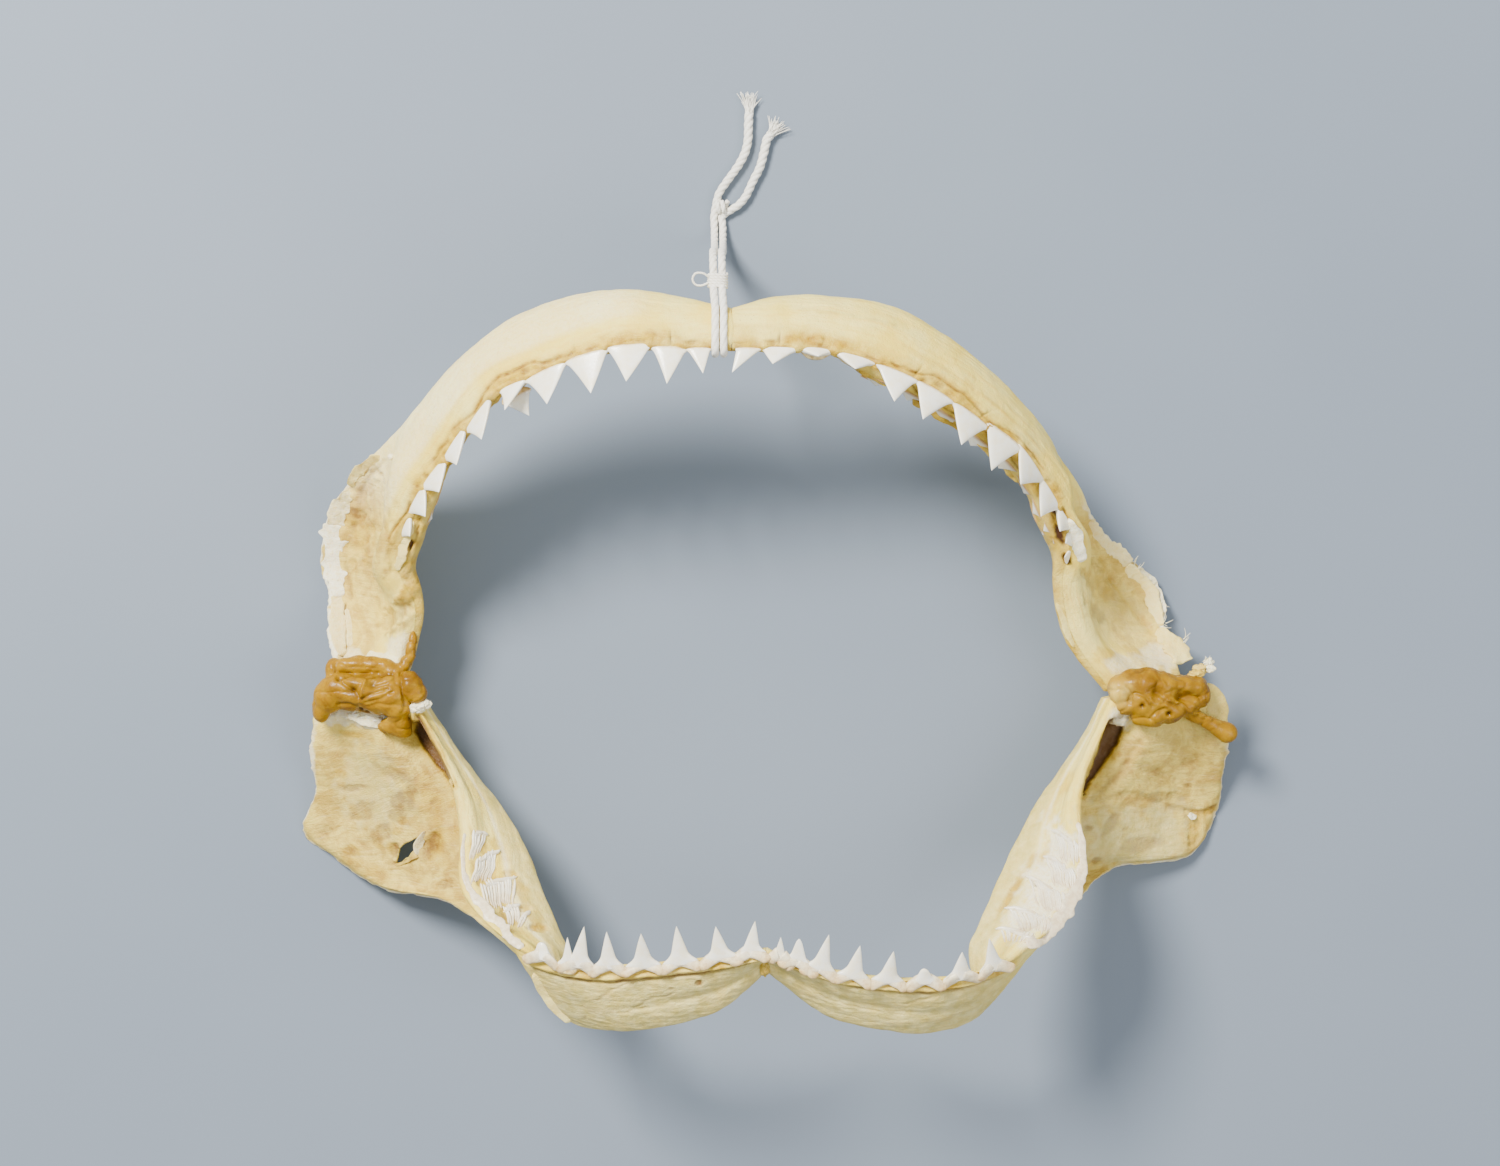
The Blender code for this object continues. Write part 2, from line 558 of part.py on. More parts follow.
def build_twine(jaw):
    cotton = principled("cotton", (0.86, 0.83, 0.76), 0.9)
    for side in STRANDS:
        tube(f"string_turn_{side}", even(turn_route(side), TURN_TWINE * 1.3), TURN_TWINE, jaw, cotton)
        tube(f"string_fall_{side}", even(fall_route(side), TWINE * 2.4), TWINE, jaw, cotton)
        tail = true_place([(*p, TAIL_HEIGHT) for p in TAILS[side]])
        tube(f"string_tail_{side}", even(tail, TAIL_TWINE * 1.3), TAIL_TWINE, jaw, cotton)
    rounded_block("string_binding", BINDING, BINDING_SIZE, jaw, cotton)
    rounded_block("string_knot", KNOT, KNOT_SIZE, jaw, cotton)


def centre_everything():
    """Moves everything so that the middle of the jaw's outline is the origin."""
    for thing in bpy.data.objects:
        thing.location.x -= CENTRE[0] * MM
        thing.location.y -= CENTRE[1] * MM


def build():
    clear_scene()
    jaw = new_collection("shark_jaw")
    tools = new_collection("cutters")
    build_jaw(jaw, tools)
    build_twine(jaw)
    centre_everything()


build()
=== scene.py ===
"""The looks of a dried requiem shark jaw, lying on its back with the mouth gaping upward.

Four cartilages, each with its working teeth and the replacement teeth behind
them, resin on both jaw joints, and a cotton twine round the upper jaw.  Lengths
are in millimetres until a mesh is made.  The rails are plan drawings, made as the
jaw looks from an eye straight above it, and `true_place` undoes that perspective.
"""
import itertools
import math

import bmesh
import bpy
import numpy as np
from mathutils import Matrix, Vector
from mathutils.geometry import convex_hull_2d


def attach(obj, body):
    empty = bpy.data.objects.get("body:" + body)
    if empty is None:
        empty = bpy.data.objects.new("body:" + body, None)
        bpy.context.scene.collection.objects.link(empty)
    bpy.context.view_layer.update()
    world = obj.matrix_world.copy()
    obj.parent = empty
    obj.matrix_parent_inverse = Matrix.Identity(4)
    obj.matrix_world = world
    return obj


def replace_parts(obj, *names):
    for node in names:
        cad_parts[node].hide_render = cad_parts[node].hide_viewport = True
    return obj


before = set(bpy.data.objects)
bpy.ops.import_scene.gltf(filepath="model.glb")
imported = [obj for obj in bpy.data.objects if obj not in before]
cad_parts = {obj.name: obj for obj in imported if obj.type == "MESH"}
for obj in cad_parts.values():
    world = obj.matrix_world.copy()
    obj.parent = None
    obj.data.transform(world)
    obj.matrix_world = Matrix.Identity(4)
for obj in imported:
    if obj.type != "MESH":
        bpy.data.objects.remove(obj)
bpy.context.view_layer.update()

# ---------------------------------------------------------------- driving sizes
MM = 0.001
EYE_HEIGHT = 1100.0        # the camera's height above the floor
DRAWN_HEIGHT = 50.0        # height at which the plan drawings are at true scale
CENTRE = np.array((5.4, -29.5, 0.0))   # the frame's origin, from the point under the eye
PHOTO_WIDTH = 1500         # pixels
PHOTO_HEIGHT = 1166
PLAN_PER_PIXEL = 0.39      # mm of plan drawing to a pixel of the photograph
SENSOR = 36.0              # width of the camera's sensor
SIDES = ("left", "right")

RING_SPACING = 0.62        # between the rings of a cartilage's mesh
SKIN_SPACING = 0.62        # between the points of a ring

# ---------------------------------------------------------------- upper jaw
# Rails: places along each edge, from the symphysis to the jaw joint.
UPPER_TOOTH_EDGE = {
    "left": [
        (-7.5, 92, 100), (-27.5, 91.5, 100), (-47.5, 92.5, 99), (-66.5, 88, 96), (-84, 80.5, 91),
        (-98.5, 73.5, 85), (-109, 60.5, 77), (-118, 47, 69), (-127, 34.5, 61), (-133.5, 20.5, 52),
        (-137.5, 6, 45), (-131, -8.5, 40), (-132, -23.5, 35), (-136.5, -40.5, 32)],
    "right": [
        (-6.7, 92, 100), (10, 91.5, 100), (29, 90.5, 99), (47, 86, 97), (64.5, 79, 93),
        (80, 70, 87), (93, 60.5, 80), (104.5, 51, 73), (113, 38.5, 65), (120, 26.5, 58),
        (125, 15, 51), (122, -1, 44), (126.5, -21.5, 38), (140, -41, 33)],
}
UPPER_BACK_EDGE = {
    "left": [
        (-7.5, 106, 86), (-27.5, 111, 82), (-47.5, 114, 80), (-67.5, 112.5, 76), (-88, 105.5, 70),
        (-105.5, 93.5, 62), (-121, 79, 53), (-133.5, 63.5, 43), (-147.5, 48, 27),
        (-160.5, 30.5, 8), (-166, 11, -0.5), (-163.5, -6.5, 6), (-163.5, -23.5, 16),
        (-157.5, -39.5, 24)],
    "right": [
        (-6.7, 106, 86), (11.5, 111.5, 82), (35, 111.5, 80), (56.5, 107, 76), (76, 96, 70),
        (93.5, 82, 63), (107, 68, 55), (118, 52.5, 46), (128, 37, 36), (132.5, 24.5, 26),
        (142.5, 13, 10), (156, 0.5, -0.5), (162.5, -20.5, 10), (168.5, -37, 22)],
}
# Sections, by points: (share of the way from tooth edge to back edge, height over that line).
UPPER_SECTIONS = {
    "bar": [
        (0, 0), (0.06, 2), (0.22, 4.5), (0.45, 6), (0.7, 5.5), (0.9, 3), (0.99, 0.5), (1, -2.5),
        (0.9, -6), (0.7, -8), (0.42, -7.5), (0.2, -5), (0.04, -2)],
    "open_bar": [
        (0, 0), (0.05, 2), (0.2, 4), (0.45, 5.5), (0.7, 5), (0.9, 3), (0.99, 0.5), (1, -2.5),
        (0.85, -6), (0.6, -8.5), (0.3, -10), (0.05, -9.5), (-0.04, -4)],
    "shoulder": [
        (0, 0), (0.05, 3), (0.18, 6), (0.36, 7.5), (0.52, 4), (0.72, -1), (1, 0.5), (1, -1),
        (0.74, -4), (0.52, -8), (0.28, -10), (0.06, -8), (-0.05, -3.5)],
    "over_plate": [
        (0, 0), (0.03, 3), (0.1, 5.5), (0.18, 5), (0.28, -2), (0.6, -4), (0.99, 0.5), (1, -0.8),
        (0.7, -7), (0.4, -9), (0.2, -11), (0.02, -9), (-0.06, -4)],
    "plate": [
        (0, 0), (0.06, 3), (0.18, 3), (0.35, -1), (0.55, -3), (0.8, -2), (0.98, 1), (1, -0.7),
        (0.78, -5), (0.5, -7), (0.25, -7), (0.05, -6), (-0.03, -3)],
    "knuckle": [
        (0, 0), (0.08, 3.5), (0.25, 4.5), (0.45, 4.5), (0.65, 4), (0.85, 3), (0.99, 0.5), (1, -2),
        (0.8, -6), (0.55, -7.5), (0.3, -7.5), (0.08, -6), (-0.03, -3)],
}
REAR_SECTIONS = ["shoulder", "over_plate", "over_plate", "plate", "plate", "knuckle"]
UPPER_STATIONS = {
    "left": ["bar"] * 8 + REAR_SECTIONS,
    "right": ["bar"] * 3 + ["open_bar"] * 5 + REAR_SECTIONS,
}

# ---------------------------------------------------------------- lower jaw
# Rails: places along each edge, from the jaw joint to the symphysis.
ORAL_EDGE = {
    "left": [
        (-134.5, -45.5, 40), (-125.5, -59.5, 43), (-118, -73.5, 48), (-113.5, -89.5, 56),
        (-113, -104, 63), (-113, -118, 70), (-106.5, -129, 78), (-95.5, -139, 86), (-82, -146, 93),
        (-60.5, -149.5, 98), (-33, -148.5, 101), (-11.5, -146, 103), (5.9, -144, 104)],
    "right": [
        (143.5, -45.5, 40), (136.5, -60, 43), (130.5, -75, 48), (128.5, -89.5, 56),
        (130.5, -104, 63), (129.5, -118, 70), (121.5, -131, 78), (110, -141, 86),
        (98.5, -148.5, 93), (76, -154.5, 98), (49, -154.5, 101), (25.5, -150, 103),
        (6.6, -144, 104)],
}
KEEL = {
    "left": [
        (-127.5, -44.5, 28), (-120.5, -56, 27), (-110, -72, 31), (-97, -88, 38), (-88, -103.5, 46),
        (-81.5, -119.5, 54), (-76, -133.5, 61), (-71, -146, 65), (-68.5, -170, 72),
        (-50.5, -173.5, 80), (-30.5, -171, 83), (-11, -165, 86), (5.9, -150, 92)],
    "right": [
        (138, -44.5, 28), (132.5, -56, 27), (122, -72, 31), (111, -88, 38), (102.5, -103.5, 46),
        (96, -118, 54), (90, -132, 61), (86, -145, 65), (88, -168.5, 72), (66.5, -174.5, 80),
        (45, -172, 83), (24, -165.5, 86), (6.6, -150, 92)],
}
BLADE_MARGIN = {
    "left": [
        (-168.5, -47, 26), (-171, -62, 18), (-168.5, -80, 8), (-172.5, -96.5, -0.5),
        (-158, -109, 2), (-142.5, -118.5, 10), (-118, -124, 34), (-90, -145.5, 72),
        (-81, -159.5, 80), (-58, -166, 90), (-32, -163, 93), (-11.5, -158, 95), (5.9, -147.5, 98)],
    "right": [
        (180, -41.5, 26), (185.5, -57.5, 18), (183.5, -74, 7), (180.5, -89, -0.5),
        (169.5, -106, 2), (141, -110.5, 14), (123, -129, 56), (107, -147.5, 72), (97, -159, 80),
        (73, -167, 90), (47, -164.5, 93), (25.5, -158.5, 95), (6.6, -147.5, 98)],
}
# For each place on the rails: how far the outer face is hollowed, from 0 to 1, how far
# the inner wall swells in mm, and how high a ridge stands in the hollow.
FOSSA = {
    "left": [0, 0.8, 1, 1, 1, 1, 0.8, 0.1, 0, 0, 0, 0, 0],
    "right": [0, 0.8, 1, 1, 1, 1, 0.3, 0, 0, 0, 0, 0, 0],
}
TOOTH_WALL = [5, 4, 4.5, 5.5, 6.5, 7, 7, 7, 7, 7, 7, 7, 5]
BLADE_RIDGE = [8, 7, 4, 1, 0, 0, 0, 0, 0, 0, 0, 0, 0]
BLADE_WALL = 3.2           # thickness of the hollowed plate, and of its rim
BLADE_RIM = 1.4
CHIN_CROWN = 1.5           # how far the chin's outer face bulges
# Points of a ring between the edges: share of the way, and bulge (the chin's has none).
INNER_FACE = [(0.1, 0.5), (0.4, 0.35), (0.75, 0.45)]
BACK_FACE = [(0.06, 1.8), (0.4, 2.4), (0.75, 1.6)]
CHIN_FACE = [0.1, 0.27, 0.45, 0.62, 0.8, 0.94]
# The torn hole in the lower left plate, drawn in plan.
TORN_HOLE = [
    (-137.5, -109), (-136.6, -105.6), (-136, -103), (-133.8, -101), (-132, -100.2), (-130.4, -99.3),
    (-128.5, -98.3), (-129.6, -101), (-130, -103.3), (-131.2, -104.6), (-132.2, -106.3),
    (-133.8, -106.9), (-135.4, -108.6)]

# ---------------------------------------------------------------- teeth
# Place along the edge, width, height, reach into the mouth, lean along the edge.
UPPER_TEETH = {
    "left": [
        (12, 8.5, 10.5, 9.5, -1.5), (23, 12.5, 14.5, 13.5, -0.5), (38, 16.5, 15, 13.5, 1.5),
        (54.5, 16.5, 16, 14.5, 2), (71.5, 17, 15, 12, 4), (86, 11, 13, 8, 6), (105, 17, 13, 7, 7),
        (121, 14.5, 12, 4.5, 6.5), (137, 15, 12, 5.5, 4), (150.5, 12, 11, 5.5, 4),
        (163.5, 9, 8, 2.5, 3)],
    "right": [
        (6, 9, 10.5, 9, -6), (17.5, 13, 8, 6, -2.5), (31, 11, 5, 2.5, 1), (46, 14, 8, 4.5, 1),
        (63, 16, 13.5, 11, 2.5), (79.5, 16, 14, 12, 0.5), (97, 17.5, 14.5, 12, 3),
        (114, 16, 14, 12.5, 3), (130.5, 16, 13, 7.5, 3.5), (145.5, 13.5, 12, 7, 5.5),
        (158, 10, 8, 3, 3.5), (167.5, 7, 6, 2.5, 1), (175, 6, 5, 2, 1)],
}
LOWER_TEETH = {
    "left": [
        (131.5, 11, 10.5, 10, -2.5), (145.5, 13, 17, 16, 1.5), (157, 10, 15.5, 14.5, 0),
        (170, 14, 15, 13.5, 0.5), (184, 14, 16, 15, 0.5), (199, 14, 14, 13, 0),
        (210, 7.5, 14, 13, 3.5)],
    "right": [
        (133, 10, 14, 12.5, -1), (146.5, 14, 12, 10.5, -2), (160, 13, 8, 7, 0.5),
        (174, 13, 14, 12.5, -1), (187, 13, 14, 13, 0), (199.5, 10, 15.5, 14.5, 0.5),
        (208, 7, 12, 11, 3), (215, 5, 9, 8, 2.5)],
}

# ---------------------------------------------------------------- resin
# Blobs: pixel and height of the centre, then half sizes along X, Y and Z in mm.
RESIN = {
    "left": [
        (333.5, 669, 35, 3.0, 4.2, 4.6), (345, 666, 35, 5.0, 2.9, 4.6),
        (358, 665.5, 35, 6.0, 3.2, 4.8), (372, 665.5, 35, 6.0, 3.2, 4.8),
        (385, 667, 35.5, 5.0, 3.2, 4.6), (394, 672, 36.5, 4.0, 3.4, 4.2),
        (341, 688, 37, 8.5, 5.6, 7), (356, 690, 38, 10, 6.4, 7.6), (374, 692, 38.5, 10, 7.2, 7.8),
        (390, 693, 39, 7.5, 8.0, 7.4), (330, 696, 36, 6.4, 6.4, 6.2),
        (321.5, 708, 34, 3.4, 5.6, 4.8), (398, 704, 38.5, 4.4, 7.5, 6.0),
        (400, 720, 36, 4.4, 5.5, 5.0), (392, 726, 35, 5.6, 3.0, 4.0),
        (402, 731, 35, 4.0, 2.6, 3.8), (409, 684, 40.5, 4.6, 5.2, 4.6),
        (417, 694, 40.5, 3.2, 3.8, 4.0), (352, 701, 37, 7, 3.4, 5),
        (376, 706, 36.5, 6.5, 3.2, 4.6), (413, 640, 36.5, 1.2, 3.6, 1.4),
        (411, 652, 36.5, 1.6, 4.0, 1.9), (405, 664, 36.5, 2.4, 3.2, 3.0)],
    "right": [
        (1120, 690, 38, 4.6, 5.4, 6), (1134, 683, 38, 6, 5.4, 6.6), (1147, 684, 38, 6, 6.2, 7),
        (1163, 687, 37, 7, 5.6, 7), (1180, 686, 35, 7, 4.2, 6.6), (1195, 686, 33.5, 4.6, 3.8, 5.6),
        (1202, 696, 32.5, 3.0, 4.4, 4.8), (1143, 701, 38.5, 6.6, 6.0, 6.6),
        (1152, 714, 37.5, 6.2, 5.0, 5.6), (1168, 710, 36.5, 6.4, 5.4, 5.6),
        (1140, 716, 37, 3.2, 3.6, 4.4), (1186, 703, 34, 6, 3.8, 5), (1126, 706, 38, 4.2, 3.0, 4.6),
        (1161, 700, 38, 6, 5, 6.4)],
}
# The drip on the right: pixel, height and half size of each blob.
RESIN_DRIP = [
    (1172, 703, 34.5, 3.2), (1188, 712, 33, 2.6), (1205, 721, 31.5, 2.5), (1218, 728.5, 30, 2.7),
    (1228, 733, 28.5, 3.5)]

# ---------------------------------------------------------------- cotton twine
TWINE = 2.9                # diameter of the free twine, and of its turns round the jaw
TURN_TWINE = 2.7
STRANDS = {"left": -1, "right": 1}
TURN_AT = {"left": -12.9, "right": -9.75}
BINDING = (-12.2, 114.0, 85.0)
BINDING_SIZE = (7.8, 6.4, 7.4)
STRAND_SPACING = 3.3
# The free twine's fall: distance behind the binding, and height.
FALL = [
    (0, 85), (2.6, 84.6), (5.3, 81.8), (8, 75.5), (9.3, 67), (10.4, 54), (12, 39), (14.5, 23),
    (18.5, 10.5), (23.3, 4), (28, 1.8), (31.6, 1.6)]
TWINE_END_GAP = 0.9
FALL_END_X = {"left": -14.7, "right": -11.2}
KNOT = (-11.4, 153.0, 2.7)
TAIL_HEIGHT = 2.1
TAILS = {
    "left": [
        (-12.8, 149.8), (-11.5, 153), (-8.6, 157.2), (-4.7, 162.6), (-2, 167.7), (-0.8, 172.8),
        (-0.6, 178.2), (-0.4, 183.3)],
    "right": [
        (-5.3, 146.8), (-3.7, 148.2), (-1.4, 151.2), (1.2, 156.8), (3.9, 162.2), (5.5, 168.1),
        (6.6, 172.8), (8.2, 175.1)],
}


# ---------------------------------------------------------------- mathematics
def smooth(knots, at):
    """Values of a curve through evenly numbered knots, at the given numbers."""
    knots = np.asarray(knots, float)
    flat = knots.reshape(len(knots), -1)
    ends = np.vstack([2 * flat[0] - flat[1], flat, 2 * flat[-1] - flat[-2]])
    at = np.asarray(at, float)
    first = np.clip(np.floor(at).astype(int), 0, len(flat) - 2)
    t = (at - first)[:, None]
    a, b, c, d = (ends[first + k] for k in range(4))
    bend = 2 * a - 5 * b + 4 * c - d
    value = b + 0.5 * t * (c - a + t * (bend + t * (3 * (b - c) + d - a)))
    return value.reshape((len(at),) + knots.shape[1:])


def unit(v):
    """Vectors of length 1 with the same headings."""
    return v / np.maximum(np.linalg.norm(v, axis=-1, keepdims=True), 1e-9)


def ramp(value, start, end):
    """0 before start and 1 after end, with a smooth rise between them."""
    t = np.clip((value - start) / (end - start), 0, 1)
    return t * t * (3 - 2 * t)


def hump(value, centre, width):
    """1 at the centre, falling off to nothing on both sides."""
    return np.exp(-((value - centre) / width) ** 2)


def true_place(points):
    """Real places of points drawn in plan from the eye."""
    points = np.array(points, float)
    scale = (EYE_HEIGHT - points[..., 2:]) / (EYE_HEIGHT - DRAWN_HEIGHT)
    points[..., :2] = points[..., :2] * scale
    return points


def plan_place(points):
    """Where real places lie in the plan drawings."""
    return points[..., :2] * (EYE_HEIGHT - DRAWN_HEIGHT) / (EYE_HEIGHT - points[..., 2:])


def away(vectors, line, reference):
    """The part of each vector that is square to a line, pointing away from a reference."""
    line = unit(line)
    square = unit(vectors - np.sum(vectors * line, -1, keepdims=True) * line)
    return -square * np.sign(np.sum(square * reference, -1, keepdims=True))


def run_of(line):
    """How far along a line of points each point is."""
    return np.concatenate([[0], np.cumsum(np.linalg.norm(np.diff(line, axis=0), axis=1))])


def edge_of(rail, steps):
    """Real places of many points along a rail."""
    return true_place(smooth(rail, np.linspace(0, len(rail) - 1, steps)))


def along_line(line, run, stops):
    """Places at the given distances along a line."""
    return np.stack([np.interp(stops, run, line[:, k]) for k in range(3)], axis=-1)


def circle(count):
    """Angles spread evenly over a full turn."""
    return np.linspace(0, 2 * np.pi, count, endpoint=False)


NOISE_SIZE = 1 << 16
NOISE_TABLE = np.random.default_rng(11).random(NOISE_SIZE) * 2 - 1
NOISE_PRIMES = (73856093, 19349663, 83492791)
SEED_PRIME = 668265263


def noise(places, seed):
    """Smooth noise from -1 to 1 at places given in cells."""
    places = np.asarray(places, float)
    cell = np.floor(places).astype(np.int64)
    part = places - cell
    part = part * part * (3 - 2 * part)
    total = np.zeros(places.shape[:-1])
    for corner in itertools.product((0, 1), repeat=places.shape[-1]):
        mix = np.full(places.shape[:-1], seed * SEED_PRIME, np.int64)
        weight = np.ones(places.shape[:-1])
        for k, step in enumerate(corner):
            mix = (mix ^ (cell[..., k] + step)) * NOISE_PRIMES[k]
            mix ^= mix >> 15
            weight = weight * (part[..., k] if step else 1 - part[..., k])
        total += weight * NOISE_TABLE[mix & (NOISE_SIZE - 1)]
    return total


def fractal(places, octaves, seed):
    """Noise with finer and fainter noise added to it."""
    total = sum(noise(places * 2.03 ** k, seed + k) * 0.5 ** k for k in range(octaves))
    return total / (2 - 0.5 ** (octaves - 1))


def line_distance(places, line):
    """Distance of places in plan from a broken line."""
    best = np.full(places.shape[:-1], 1e9)
    for a, b in zip(np.array(line[:-1], float), np.array(line[1:], float)):
        share = np.clip(((places - a) @ (b - a)) / ((b - a) @ (b - a)), 0, 1)
        far = np.linalg.norm(places - a - share[..., None] * (b - a), axis=-1)
        best = np.minimum(best, far)
    return best


def stack(*values):
    """Vectors made of separate coordinates."""
    return np.stack(np.broadcast_arrays(*values), axis=-1)


def grain(a, b, seed):
    """Noise over two measures of a surface."""
    return noise(stack(a, b), seed)


def ripple(a, seed):
    """Noise over one measure of a surface."""
    return grain(a, 0 * a, seed)


# ---------------------------------------------------------------- forms of the cartilages
def upper_rings(side, count):
    """Rings of points round the upper cartilage, from the symphysis to the joint."""
    stations = UPPER_STATIONS[side]
    at = np.linspace(0, len(stations) - 1, count)
    tooth = true_place(smooth(UPPER_TOOTH_EDGE[side], at))
    back = true_place(smooth(UPPER_BACK_EDGE[side], at))
    across = back - tooth
    along = np.gradient((tooth + back) / 2, axis=0)
    along[0] = (1, 0, 0)
    face = np.cross(across, along)
    face = unit(face * np.sign(face[:, 2:]))
    shape = smooth([UPPER_SECTIONS[name] for name in stations], at)
    return tooth[:, None] + shape[..., :1] * across[:, None] + shape[..., 1:] * face[:, None], at


def lower_rings(side, count):
    """Rings of points round the lower cartilage, from the joint to the symphysis."""
    at = np.linspace(0, len(FOSSA[side]) - 1, count)
    oral, keel, margin = (true_place(smooth(rail[side], at))
                          for rail in (ORAL_EDGE, KEEL, BLADE_MARGIN))
    fossa = smooth(FOSSA[side], at).clip(0, 1)[:, None]
    wall = smooth(TOOTH_WALL, at)[:, None]
    ridge = smooth(BLADE_RIDGE, at)[:, None]
    inner = away(margin - oral, keel - oral, margin - oral)
    under = away(oral - keel, margin - keel, oral - keel)
    outer = away(keel - oral, margin - oral, keel - oral)
    floor = BLADE_WALL - BACK_FACE[0][1]

    def between(a, b, share, push=0.0):
        return a + share * (b - a) + push

    ring = [oral]
    ring += [between(oral, keel, share, inner * wall * bulge) for share, bulge in INNER_FACE]
    ring += [keel + inner]
    ring += [between(keel, margin, share, under * bulge) for share, bulge in BACK_FACE]
    ring += [margin + under * fossa * BLADE_RIM / 2]
    flush = [between(margin, oral, share, outer * CHIN_CROWN * 4 * share * (1 - share))
             for share in CHIN_FACE]
    sunk = [
        margin - under * BLADE_RIM / 2,
        between(margin, keel, 0.28, -under * floor),
        between(margin, keel, 0.62, -under * (floor + ridge)),
        between(keel, (oral + margin) / 2, 0.16),
        between(oral, keel, 0.5, -inner * wall * 0.6),
        between(oral, keel, 0.1, -inner * wall * 0.5),
    ]
    ring += [a + fossa * (b - a) for a, b in zip(flush, sunk)]
    return np.stack(ring, axis=1), at


def rounded(rings, spacing):
    """The rings with more points, on smooth curves through their own, and each
    point's place round its ring, counted in the rings' own points."""
    count = rings.shape[1]
    length = np.linalg.norm(np.roll(rings, -1, 1) - rings, axis=2, keepdims=True) + 1e-6
    before = np.roll(length, 1, 1)
    out = (np.roll(rings, -1, 1) - rings) / length
    into = np.roll(out, 1, 1)
    slope = (into * length + out * before) / (length + before)
    usual = np.percentile(length[..., 0], 85, axis=0)
    steps = np.clip(np.round(usual / spacing), 3, 60).astype(int)
    points, places = [], []
    for k in range(count):
        n = (k + 1) % count
        t = (np.arange(steps[k]) / steps[k])[None, :, None]
        a, b, span = rings[:, k, None], rings[:, n, None], length[:, k, None]
        sa, sb = slope[:, k, None] * span, slope[:, n, None] * span
        points.append(a + t * sa + t * t * (3 * (b - a) - 2 * sa - sb)
                      + t ** 3 * (2 * (a - b) + sa + sb))
        places.append(k + t[0, :, 0])
    return np.concatenate(points, axis=1), np.concatenate(places)


class Form:
    """A cartilage's surface as a grid: rings along it, points round each ring."""

    def __init__(self, rings, station):
        self.points, self.place = rounded(rings, SKIN_SPACING)
        self.station = station[:, None]
        self.measure()

    def measure(self):
        points = self.points
        self.along = run_of(points[:, 0])[:, None]
        steps = np.linalg.norm(np.diff(points, axis=1, append=points[:, :1]), axis=2)
        self.rise = np.concatenate([np.zeros((len(points), 1)), np.cumsum(steps, 1)[:, :-1]], 1)
        self.turn = steps.sum(axis=1, keepdims=True)
        self.dip = self.turn - self.rise
        lengthwise = np.gradient(points, axis=0)
        crosswise = np.roll(points, -1, 1) - np.roll(points, 1, 1)
        normal = unit(np.cross(lengthwise, crosswise))
        middle = points.mean(axis=1, keepdims=True)
        self.normal = normal * np.sign(np.sum((points - middle) * normal))
        self.plan = plan_place(points)
        self.up = ramp(self.normal[..., 2], 0.0, 0.35)

    def from_place(self, number):
        """Distance over the surface from the ring's point of that number."""
        column = np.argmin(np.abs(self.place - number))
        gap = np.abs(self.rise - self.rise[:, column:column + 1])
        return np.minimum(gap, self.turn - gap)

    def seat(self, x, y):
        """The nearest upward-facing point of the surface to a place in plan, and its normal."""
        far = np.hypot(self.plan[..., 0] - x, self.plan[..., 1] - y)
        far = far + 40 * (self.normal[..., 2] < 0.1) - 0.02 * self.points[..., 2]
        row, column = np.unravel_index(np.argmin(far), far.shape)
        return self.points[row, column], self.normal[row, column]

    def push(self, amount):
        """Moves the surface outward."""
        amount = np.broadcast_to(amount, self.points.shape[:2])
        self.points = self.points + self.normal * amount[..., None]

    def spot(self, x, y, length, width, angle, seed):
        """A blot on the side that faces the eye, in plan: 1 inside, 0 outside."""
        turn = math.radians(angle)
        dx, dy = self.plan[..., 0] - x, self.plan[..., 1] - y
        u = (dx * math.cos(turn) + dy * math.sin(turn)) / length
        v = (dy * math.cos(turn) - dx * math.sin(turn)) / width
        far = np.hypot(u, v)
        near = far < 2.2
        wobble = np.zeros(far.shape)
        wobble[near] = fractal(self.points[near] / 3.5, 3, seed)
        return ramp(far + wobble * 0.8, 1.35, 0.65) * self.up

    def trace(self, line, width):
        """Nearness to a line drawn in plan, on the side that faces the eye."""
        cells = self.points / 2.6
        place = self.plan + 0.5 * stack(noise(cells, 5), noise(cells, 14))
        return hump(line_distance(place, line), 0, width) * self.up

    def wedge(self, line):
        """A sharp-edged slit along a line of pixels, each with the slit's half width in mm."""
        ends = np.array([(*at_pixel(x, y), half) for x, y, half in line])
        best = np.full(self.plan.shape[:2], 9.0)
        cells = self.points / 2.2
        place = self.plan + 0.35 * stack(noise(cells, 7), noise(cells, 8))
        for a, b in zip(ends[:-1], ends[1:]):
            step = b[:2] - a[:2]
            share = np.clip(((place - a[:2]) @ step) / (step @ step), 0, 1)
            far = np.linalg.norm(place - a[:2] - share[..., None] * step, axis=-1)
            best = np.minimum(best, far / (a[2] + share * (b[2] - a[2])))
        return ramp(best, 1.15, 0.8) * ramp(self.normal[..., 2], -0.3, 0.0)

    def at(self, along, offset):
        """Place, outward normal, and the directions along and across the form, at a
        distance along it and a signed distance round it from its first point."""
        row = int(np.clip(np.searchsorted(self.along[:, 0], along), 1, len(self.along) - 2))
        offset = offset % self.turn[row, 0]
        column = int(np.searchsorted(self.rise[row], offset)) % len(self.place)
        following = (column + 1) % len(self.place)
        place = self.points[row, column]
        lengthwise = unit(self.points[row + 1, column] - self.points[row - 1, column])
        crosswise = unit(self.points[row, following] - self.points[row, column - 1])
        return place, self.normal[row, column], lengthwise, crosswise


# ---------------------------------------------------------------- meshes
def frame_place(points):
    """Places in the frame, in metres."""
    return (np.asarray(points, float) - CENTRE) * MM


def add_object(name, data):
    """A new object in the scene."""
    thing = bpy.data.objects.new(name, data)
    bpy.context.scene.collection.objects.link(thing)
    return thing


